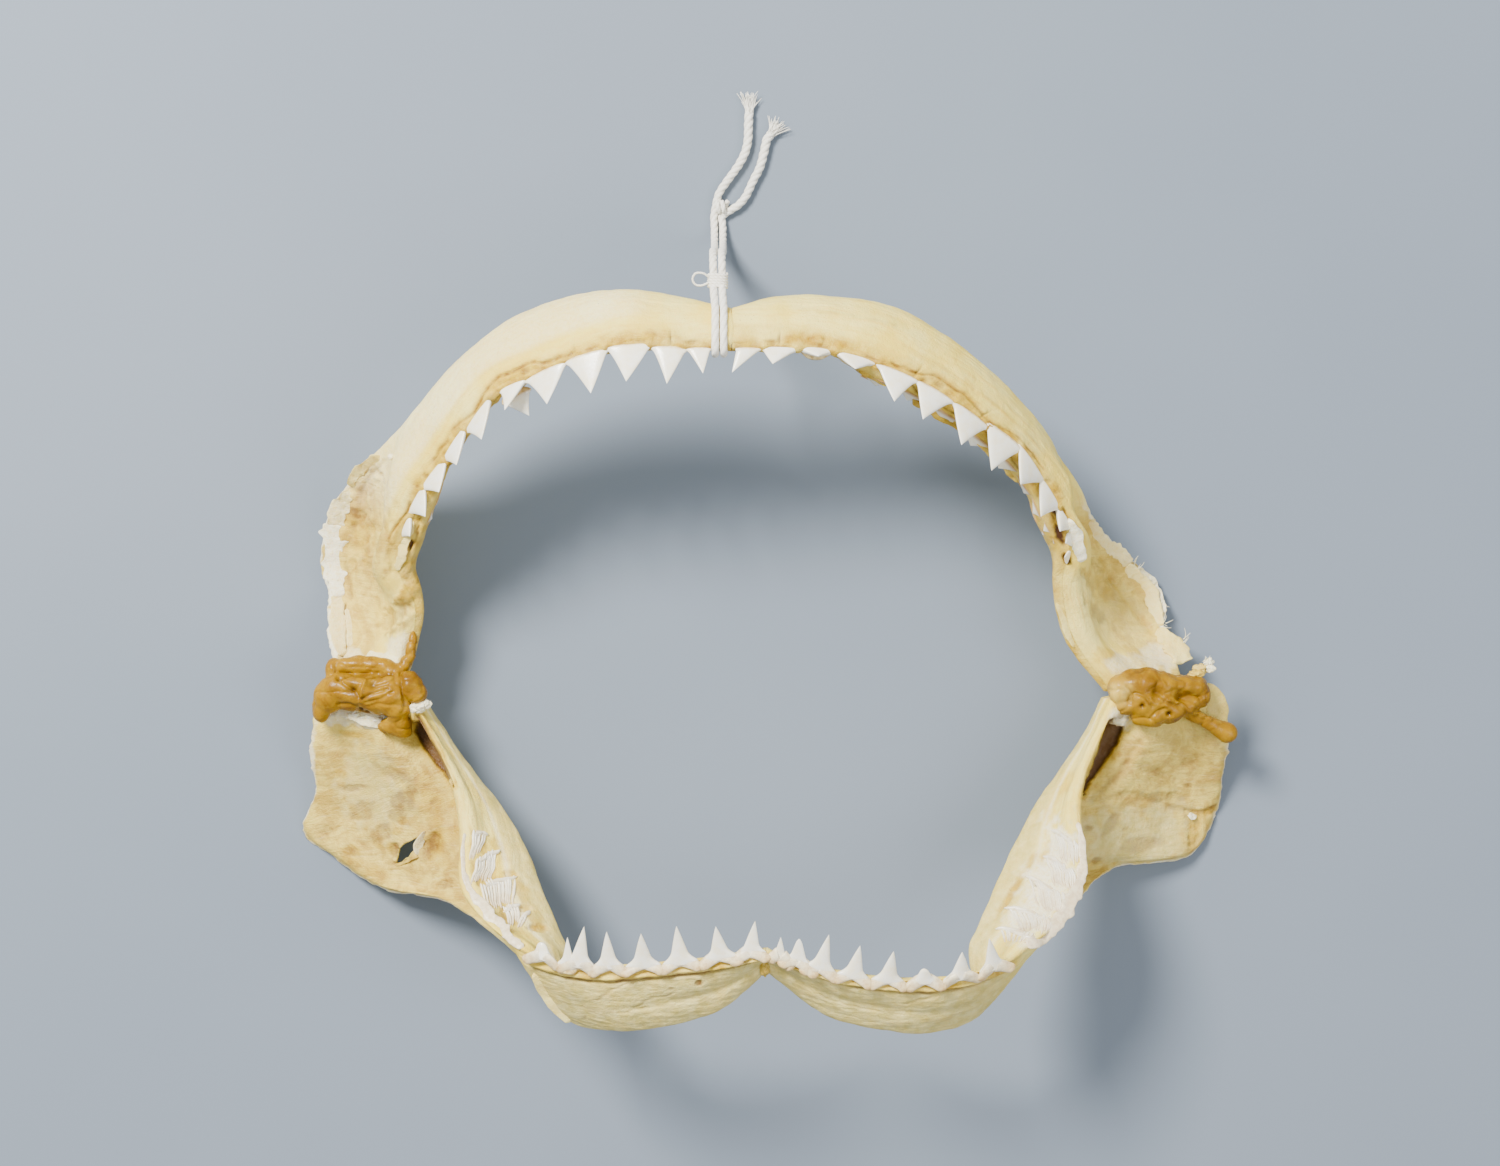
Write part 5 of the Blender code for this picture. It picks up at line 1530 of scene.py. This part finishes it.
def lower_tissue(side, form):
    """Torn tissue on the lower margins, below the resin and on the chin."""
    tissue = Gathered()
    if side == "left":
        flap(tissue, form, [(534, 972, 1.2), (545, 992, 2.0), (557, 1008, 2.2), (572, 1022, 1.3)],
             curl=0.8, thick=1.7, rag=0.5, seed=31, pale=0.25, gum=0.05)
        flap(tissue, form, [(427, 830, 0.6), (422, 838, 1.1), (418, 847, 1.3), (419, 856, 0.7)],
             curl=1.3, thick=0.9, rag=1.6, seed=32, pale=0.6, gum=0.2, plate=0.6)
        flap(tissue, form, [(394, 865, 0.5), (402, 863, 0.8), (411, 859, 0.8), (420, 856, 0.5)],
             curl=0.9, thick=0.9, rag=1.6, seed=33, stain=0.45, gum=0.3, plate=0.6)
        flap(tissue, form, [(322, 719, 1.2), (332, 713, 1.8), (345, 712, 2.0), (358, 715, 2.2),
             (372, 720, 2.8), (385, 722, 2.6), (392, 717, 1.4)], curl=0.6, thick=1.6, rag=1.2,
             seed=38, pale=0.75, plate=0.4)
        for k, (x, y, size) in enumerate(MARGIN_LUMPS):
            clump(tissue, x, y, 31, (size * 1.5, size * 0.7, size), 40 + k, 0.35, pale=0.95,
                  gum=0.0)
        height = form.seat(*at_pixel(760, 966))[0][2]
        clump(tissue, 765, 967, height - 1.5, (2.2, 3.4, 2.6), 59, 0.35, gum=0.7, stain=0.2)
        for k, (x, y, size) in enumerate(JOINT_CRUMBS["left"]):
            clump(tissue, x, y, 40, (size, size * 0.9, size), 50 + k, 0.5, pale=0.9, gum=0.0)
    else:
        flap(tissue, form, [(1187, 815, 0.8), (1193, 816, 1.3), (1197, 815, 0.7)], curl=1.0,
             thick=1.2, rag=1.0, seed=36, pale=0.9, gum=0.0)
        flap(tissue, form, [(1202, 690, 2.4), (1208, 691, 3.6), (1213, 698, 4.6), (1216, 709, 4.8),
             (1217, 722, 4.4), (1219, 736, 2.6)], curl=0.1, thick=2.4, rag=0.25, sink=0.3, seed=37,
             plate=0.6, grey=0.3)
        for k, (x, y, size) in enumerate(JOINT_CRUMBS["right"]):
            clump(tissue, x, y, 33 + k % 2, (size * 1.1, size, size), 70 + k, 0.4, pale=0.7,
                  grey=0.3, gum=0.15)
    return tissue


# ---------------------------------------------------------------- resin
RESIN_VOXEL = 0.5          # grain at which the blobs merge
RESIN_SETTLING = 45        # rounds of smoothing after it


def merged_balls(balls):
    """One smooth surface round the balls: its points, normals and faces."""
    work = bmesh.new()
    for ball in balls:
        made = bmesh.ops.create_uvsphere(work, u_segments=32, v_segments=20, radius=1.0)
        place = true_place(ball[:3])
        for v in made["verts"]:
            v.co = Vector([p + r * c for p, r, c in zip(place, ball[3:], v.co)])
    mesh = bpy.data.meshes.new("balls")
    work.to_mesh(mesh)
    work.free()
    rough = add_object("balls", mesh)
    remesh = rough.modifiers.new("merge", "REMESH")
    remesh.mode = "VOXEL"
    remesh.voxel_size = RESIN_VOXEL
    settle = rough.modifiers.new("settle", "SMOOTH")
    settle.factor = 0.5
    settle.iterations = RESIN_SETTLING
    graph = bpy.context.evaluated_depsgraph_get()
    merged = bpy.data.meshes.new_from_object(rough.evaluated_get(graph))
    bpy.data.objects.remove(rough, do_unlink=True)
    count = len(merged.vertices)
    points, normals = np.empty(count * 3), np.empty(count * 3)
    merged.vertices.foreach_get("co", points)
    merged.vertices.foreach_get("normal", normals)
    faces = [tuple(f.vertices) for f in merged.polygons]
    bpy.data.meshes.remove(merged)
    return points.reshape(-1, 3), normals.reshape(-1, 3), faces


def resin_piece(side, material):
    """The lump of resin on a jaw joint, folded, pitted and creased."""
    balls = [(*at_pixel(*ball[:2]), *ball[2:]) for ball in RESIN[side]]
    if side == "right":
        drip = smooth(RESIN_DRIP, np.linspace(0, len(RESIN_DRIP) - 1, 40))
        balls += [(*at_pixel(x, y), z, size, size, size) for x, y, z, size in drip]
    points, normals, faces = merged_balls(balls)
    folds = 1 - np.abs(fractal(points / np.array((8.0, 5.0, 8.0)), 2, 81)) * 2.6
    amount = 0.7 + fractal(points / 8.5, 2, 82) * 0.9 - 0.4 * ramp(folds, 0.5, 1.0)
    amount = amount + fractal(points / 2.2, 2, 83) * 0.12
    # painted shade: dark in the folds, then in the pits and the creases below
    shade_and_brown = 0.22 * ramp(folds, 0.7, 1.0)
    plan = plan_place(points)
    top = ramp(normals[:, 2], 0, 0.4)
    for x, y, radius, depth in RESIN_PITS[side]:
        pit = hump(np.hypot(*(plan - at_pixel(x, y)).T), 0, radius) * top
        amount = amount - depth * pit
        shade_and_brown = np.maximum(shade_and_brown, pit * min(1.0, depth / 2))
    for depth, width, line in RESIN_CREASES[side]:
        near = hump(line_distance(plan, line_by_pixel(line)), 0, width) * top
        amount = amount - depth * near
        shade_and_brown = np.maximum(shade_and_brown, near * max(depth, 0) * 0.35)
    x, y, radius, brown = RESIN_THIN[side]
    thin = hump(np.hypot(*(plan - at_pixel(x, y)).T) + 0.9 * noise(points / 2.5, 84), 0, radius)
    marks = {"shade_and_brown": np.clip(np.maximum(shade_and_brown, thin * brown), 0, 1), "thin": thin * (brown == 0)}
    piece = make_piece(f"resin_lump_{side}", points + normals * amount[:, None], faces, material,
                       marks, "resin")
    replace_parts(piece, f"resin_{side}")


# Pits in the resin: pixel, radius and depth in mm.
# Each pit is also painted dark, as shade in it.
RESIN_PITS = {
    "left": [
        (361, 709, 0.9, 2.0), (367, 713, 1.3, 1.6), (352, 690, 2.6, 1.6), (372, 685, 2.2, 1.3),
        (339, 679, 1.0, 1.2), (412, 717, 1.4, 1.6)],
    "right": [
        (1142, 706, 0.9, 1.9), (1169, 714, 1.0, 1.9), (1129, 700, 1.2, 0.7), (1156, 693, 2.2, 0.8)],
}
# Where the resin is thin: pixel, radius in mm, and how brown it looks there.
RESIN_THIN = {"left": (411, 685, 4.5, 0.3), "right": (1117, 694, 5.0, 0)}
# Creases (and, with a depth under 0, ridges) in the resin: depth and width in mm, and the line.
# Each crease is also painted dark, as shade in it; a ridge is not.
RESIN_CREASES = {
    "left": [
        (-1.3, 0.55, [(366, 681), (363, 690), (361, 700)]),
        (0.9, 0.7, [(343, 683), (355, 691), (361, 699)]),
        (0.8, 0.6, [(363, 698), (374, 693), (388, 689)]),
        (0.6, 0.5, [(365, 702), (380, 699), (392, 692)]),
        (1.3, 0.8, [(338, 679), (352, 675), (372, 676), (392, 674)]),
        (0.7, 0.6, [(338, 704), (350, 703), (358, 705)]),
        (0.9, 0.7, [(401, 674), (402, 690), (404, 706)]),
        (0.5, 0.5, [(376, 686), (386, 684), (394, 680)])],
    "right": [
        (0.4, 0.9, [(1166, 694), (1176, 690), (1188, 693)]),
        (0.8, 0.6, [(1135, 692), (1146, 698), (1152, 706)]),
        (0.8, 0.6, [(1160, 694), (1166, 702), (1178, 706)]),
        (-0.9, 0.6, [(1176, 703), (1192, 711), (1210, 720)]),
        (0.7, 0.6, [(1150, 718), (1156, 712), (1164, 708)]),
        (0.6, 0.5, [(1126, 686), (1133, 694), (1132, 704)])],
}


# ---------------------------------------------------------------- cotton twine
def carried(points):
    """A frame carried along a line without twisting: two directions square to it."""
    heading = unit(np.gradient(points, axis=0))
    side = unit(np.cross(heading[0], (0.1, 0.3, 1.0)))
    sides = []
    for h in heading:
        side = unit(side - (side @ h) * h)
        sides.append(side)
    sides = np.array(sides)
    return sides, np.cross(heading, sides)


def tube(line, size, angle):
    """Rings of points round a line."""
    a, b = carried(line)
    return (line[:, None] + a[:, None] * (size * np.cos(angle))[..., None]
            + b[:, None] * (size * np.sin(angle))[..., None])


def evenly(points, spacing):
    """Evenly spaced places on the smooth curve through the points."""
    fine = smooth(points, np.linspace(0, len(points) - 1, 900))
    run = run_of(fine)
    return along_line(fine, run, np.linspace(0, run[-1], max(4, round(run[-1] / spacing))))


def lay_twine(into, points, radius, lay, plies=3, depth=0.24, sides=24, spacing=0.32):
    """Rings of a twisted twine along a line, grooved between its plies."""
    line = evenly(points, spacing)
    run = run_of(line)
    angle = circle(sides)
    radii = np.interp(run, np.linspace(0, run[-1], np.size(radius)), np.ravel(radius))
    turn = run * 2 * np.pi / lay
    ridge = np.abs(np.cos(plies / 2 * (angle[None] - turn[:, None])))
    strand = 1 - depth * (1 - ridge) ** 1.4
    fibre = 1 + 0.035 * grain(angle[None] * 3.5 + turn[:, None] * 2.0, run[:, None] / 1.4, 91)
    rings = tube(line, radii[:, None] * strand * fibre, angle)
    # painted shade between the plies
    into.add_rings(rings, groove=np.clip(1 - ridge * 1.6, 0, 1))
    return line


def add_fibres(into, tip, heading, count, spread, length, seed):
    """Loose fibres that fan out of a twine's cut end, lying on the floor."""
    draws = np.random.default_rng(seed)
    for _ in range(count):
        lean = draws.normal(0, spread, 2)
        beside = unit(np.cross(heading, (0, 0, 1)))
        way = unit(heading + beside * lean[0])
        start = tip - heading * 1.5 + beside * draws.uniform(-1.3, 1.3)
        reach = length * draws.uniform(0.55, 1.0)
        curl = draws.normal(0, 0.22)
        t = np.linspace(0, 1, 9)[:, None]
        line = start + way * reach * t + beside * curl * reach * t * t
        height = start[2] + draws.uniform(-1.1, 1.2) * (1 - t[:, 0] * 0.6)
        line[:, 2] = np.maximum(height + lean[1] * reach * t[:, 0] * 0.25, 0.25)
        # loose fibres painted a little darker, as shade among them
        into.add_rings(tube(line, 0.24 * (1 - 0.55 * t), circle(5)), groove=0.15)


def turn_route(side, form):
    """The twine's way from the binding round the bar of the upper jaw and back to it."""
    x = TURN_AT[side]
    ring = form.points[np.argmin(np.abs(form.points[:, :, 0].mean(axis=1) - x))][::4, 1:]
    edges = np.roll(ring, -1, 0) - ring
    out = unit(np.stack([edges[:, 1], -edges[:, 0]], 1))
    if np.sum((ring - ring.mean(0)) * out) < 0:
        out = -out
    clear = TURN_TWINE / 2 - 0.25
    wide = np.vstack([ring + out * clear, np.roll(ring, -1, 0) + out * clear])
    bottom = BINDING[1] - BINDING_SIZE[1] / 2 + 1.0
    ends = [(bottom, BINDING[2] + STRAND_SPACING / 2), (bottom, BINDING[2] - STRAND_SPACING / 2)]
    corners = np.vstack([wide, ends])
    hull = [corners[k] for k in convex_hull_2d([tuple(c) for c in corners])]
    first = min(range(len(hull)), key=lambda k: np.linalg.norm(hull[k] - ends[0]))
    hull = hull[first:] + hull[:first]
    if np.linalg.norm(hull[1] - ends[1]) < 0.1:
        hull = [hull[0]] + hull[:0:-1]
    at_binding = BINDING[0] + STRANDS[side] * STRAND_SPACING / 2
    route = np.array([(x, *h) for h in hull])
    route[0] = (at_binding, *ends[0])
    route[-1] = (at_binding, *ends[1])
    run = run_of(route)
    return along_line(route, run, np.linspace(0, run[-1], 60))


def cord_route(side):
    """The free twine's way from the binding down to the floor, through the knot, to its end."""
    start = BINDING[0] + STRANDS[side] * STRAND_SPACING / 2
    top = BINDING[1] + BINDING_SIZE[1] / 2 + TWINE_END_GAP
    reach = FALL[-1][0]
    fall = [(start, BINDING[1] + 0.5, BINDING[2])]
    fall += [(start + (FALL_END_X[side] - start) * out / reach, top + out, height)
             for out, height in FALL]
    tail = true_place([(*p, TAIL_HEIGHT) for p in TAILS[side]])
    return np.vstack([fall, tail])


# The loop beside the binding, from the binding's middle.
BOW = [
    (-3.4, 1.2, 2.2), (-5.4, 2.4, 3.2), (-8.2, 2.4, 3.0), (-9.4, 0.4, 2.2), (-8.4, -1.6, 1.6),
    (-6.0, -2.0, 1.6), (-3.4, -1.0, 2.4)]
BINDING_TURNS, KNOT_TURNS = 5, 2.1
FRAY_LENGTH = {"left": 10.5, "right": 9.0}


def twine_pieces(material, form):
    """The twine's turns round the bar, its binding, its knot, and its two free sides."""
    for side in STRANDS:
        turn = Gathered()
        lay_twine(turn, turn_route(side, form), TURN_TWINE / 2 * 1.06, 15, depth=0.13)
        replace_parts(turn.piece(f"twine_turn_{side}", material, "cotton"), f"string_turn_{side}")

    binding = Gathered()
    angle = np.linspace(0, 2 * np.pi * BINDING_TURNS, 240)
    half = np.array(BINDING_SIZE) / 2

    def boxed(wave):
        return np.sign(wave) * np.abs(wave) ** 0.8

    wrap = np.stack([BINDING[0] + (half[0] - 0.6) * boxed(np.cos(angle)),
                     BINDING[1] + (angle / angle[-1] - 0.5) * (BINDING_SIZE[1] - 1.3),
                     BINDING[2] + (half[2] - 0.6) * boxed(np.sin(angle))], axis=1)
    thin = dict(plies=2, depth=0.2, sides=10, spacing=0.35)
    lay_twine(binding, wrap, 0.68, 3.2, **thin)
    lay_twine(binding, np.array(BOW) + np.array(BINDING), 0.42, 2.4, **thin)
    binding_piece = binding.piece("twine_binding", material, "cotton")
    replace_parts(binding_piece, "string_binding")

    knot = Gathered()
    angle = np.linspace(0, 2 * np.pi * KNOT_TURNS, 90)
    wind = np.stack([KNOT[0] + (angle / angle[-1] - 0.5) * 4.4,
                     KNOT[1] + 2.0 * np.cos(angle) + 0.2,
                     KNOT[2] + 0.3 + 1.7 * np.sin(angle)], axis=1)
    lay_twine(knot, wind, 1.0, 7, sides=16, spacing=0.35)
    knot_piece = knot.piece("twine_knot", material, "cotton")
    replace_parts(knot_piece, "string_knot")

    for side in STRANDS:
        strand = Gathered()
        # the twine loosens towards its cut end
        sizes = TWINE / 2 * np.array((1, 1, 1.1, 1.28))
        size = np.interp(np.linspace(0, 1, 40), [0, 0.62, 0.75, 1], sizes)
        line = lay_twine(strand, cord_route(side), size, 9.5)
        heading = unit(line[-1] - line[-8])
        frayed = Gathered()
        add_fibres(frayed, line[-1], heading, 60, 0.22, FRAY_LENGTH[side], 21 + STRANDS[side])
        fray_piece = frayed.piece(f"twine_fray_{side}", material, "cotton")
        piece = strand.piece(f"twine_strand_{side}", material, "cotton")
        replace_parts(piece, f"string_fall_{side}", f"string_tail_{side}")
        path = frame_place(line)
        float(run_of(path)[-1])


# ---------------------------------------------------------------- cartilage pieces
HOLE_HEIGHT = 12.0         # height at which the torn hole is drawn
HOLE_SPAN = (-5, 40)       # heights between which it is cut


def cartilage_piece(name, node, form, marks, material, hole=None):
    rows, columns, _ = form.points.shape
    flat = {key: np.broadcast_to(value, (rows, columns)).ravel() for key, value in marks.items()}
    flat["form"] = (stack(form.along, form.rise, 0 * form.rise).reshape(-1, 3)) * MM
    piece = make_piece(name, form.points.reshape(-1, 3), tube_faces(rows, columns), material, flat,
                       "cartilage")
    if hole is not None:
        cut_hole(piece, hole)
    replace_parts(piece, node)


def cut_hole(piece, outline):
    """Cuts an outline drawn in plan right through a piece."""
    work = bmesh.new()
    places = frame_place(true_place([(x, y, HOLE_HEIGHT) for x, y in outline]))
    low, high = (height * MM for height in HOLE_SPAN)
    face = work.faces.new([work.verts.new((x, y, low)) for x, y, _ in places])
    grown = bmesh.ops.extrude_face_region(work, geom=[face])
    for v in grown["geom"]:
        if isinstance(v, bmesh.types.BMVert):
            v.co.z = high
    bmesh.ops.recalc_face_normals(work, faces=work.faces)
    mesh = bpy.data.meshes.new("hole")
    work.to_mesh(mesh)
    work.free()
    tool = add_object("hole", mesh)
    step = piece.modifiers.new("hole", "BOOLEAN")
    step.operation = "DIFFERENCE"
    step.object = tool
    graph = bpy.context.evaluated_depsgraph_get()
    cut = bpy.data.meshes.new_from_object(piece.evaluated_get(graph))
    piece.modifiers.clear()
    piece.data = cut
    cut.shade_smooth()
    bpy.data.objects.remove(tool, do_unlink=True)


# ---------------------------------------------------------------- camera, light and floor
def camera():
    """The photograph's eye, straight above the jaw."""
    data = bpy.data.cameras.new("camera")
    data.sensor_width = SENSOR
    focal_pixels = (EYE_HEIGHT - DRAWN_HEIGHT) / PLAN_PER_PIXEL
    data.lens = focal_pixels * SENSOR / PHOTO_WIDTH
    thing = add_object("camera", data)
    thing.location = (-CENTRE[0] * MM, -CENTRE[1] * MM, EYE_HEIGHT * MM)
    bpy.context.scene.camera = thing


AIM = (0, 0, 0.05)         # in metres, as are the lamps' places and sizes and the floor's
FLOOR_REACH = 4
FLOOR_DROP = 0.0004


def lamp(name, place, size, power, colour):
    """A round soft light, aimed at the jaw."""
    data = bpy.data.lights.new(name, "AREA")
    data.shape = "DISK"
    data.size = size
    data.energy = power
    data.color = colour
    thing = add_object(name, data)
    thing.location = place
    thing.rotation_euler = (Vector(AIM) - Vector(place)).to_track_quat("-Z", "Y").to_euler()


def studio():
    """A plain floor under soft light."""
    world = bpy.data.worlds.new("studio")
    world.use_nodes = True
    sky = world.node_tree.nodes["Background"].inputs
    sky["Color"].default_value = (0.93, 0.96, 1.0, 1.0)
    sky["Strength"].default_value = 0.72
    bpy.context.scene.world = world
    lamp("key", (-0.75, 0.85, 1.35), 0.55, 84, (1.0, 0.985, 0.95))
    lamp("fill", (0.95, -0.25, 1.25), 0.9, 12, (0.95, 0.97, 1.0))
    mesh = bpy.data.meshes.new("floor")
    corners = [(x * FLOOR_REACH, y * FLOOR_REACH, -FLOOR_DROP)
               for x, y in ((-1, -1), (1, -1), (1, 1), (-1, 1))]
    mesh.from_pydata(corners, [], [(0, 1, 2, 3)])
    s = Shader("floor")
    cloud = s.range(s.noise(s.place(), 3, 3), 0.3, 0.7)
    colour = s.mix(cloud, (0.165, 0.20, 0.245), (0.18, 0.215, 0.26))
    mesh.materials.append(s.surfaced(Base_Color=colour, Roughness=0.75))
    floor = add_object("floor", mesh)


def build():
    camera()
    upper = {side: dress_upper(side) for side in SIDES}
    lower = {side: dress_lower(side) for side in SIDES}
    twine_pieces(cotton_material(), upper["left"][0])
    cartilage, enamel, amber = cartilage_material(), tooth_material(), resin_material()
    dressings = (("teeth_upper", upper_teeth, upper, enamel, "tooth"),
                 ("teeth_lower", lower_teeth, lower, enamel, "tooth"),
                 ("teeth_arm", arm_teeth, lower, enamel, "tooth"),
                 ("tissue_upper", upper_tissue, upper, cartilage, "cartilage"),
                 ("tissue_lower", lower_tissue, lower, cartilage, "cartilage"))
    for side in SIDES:
        cartilage_piece(f"cartilage_upper_{side}", f"upper_jaw_{side}", *upper[side], cartilage)
        cartilage_piece(f"cartilage_lower_{side}", f"lower_jaw_{side}", *lower[side], cartilage,
                        TORN_HOLE if side == "left" else None)
        for name, dress, jaw, material, slot in dressings:
            dress(side, jaw[side][0]).piece(f"{name}_{side}", material, slot)
        resin_piece(side, amber)
    studio()


build()
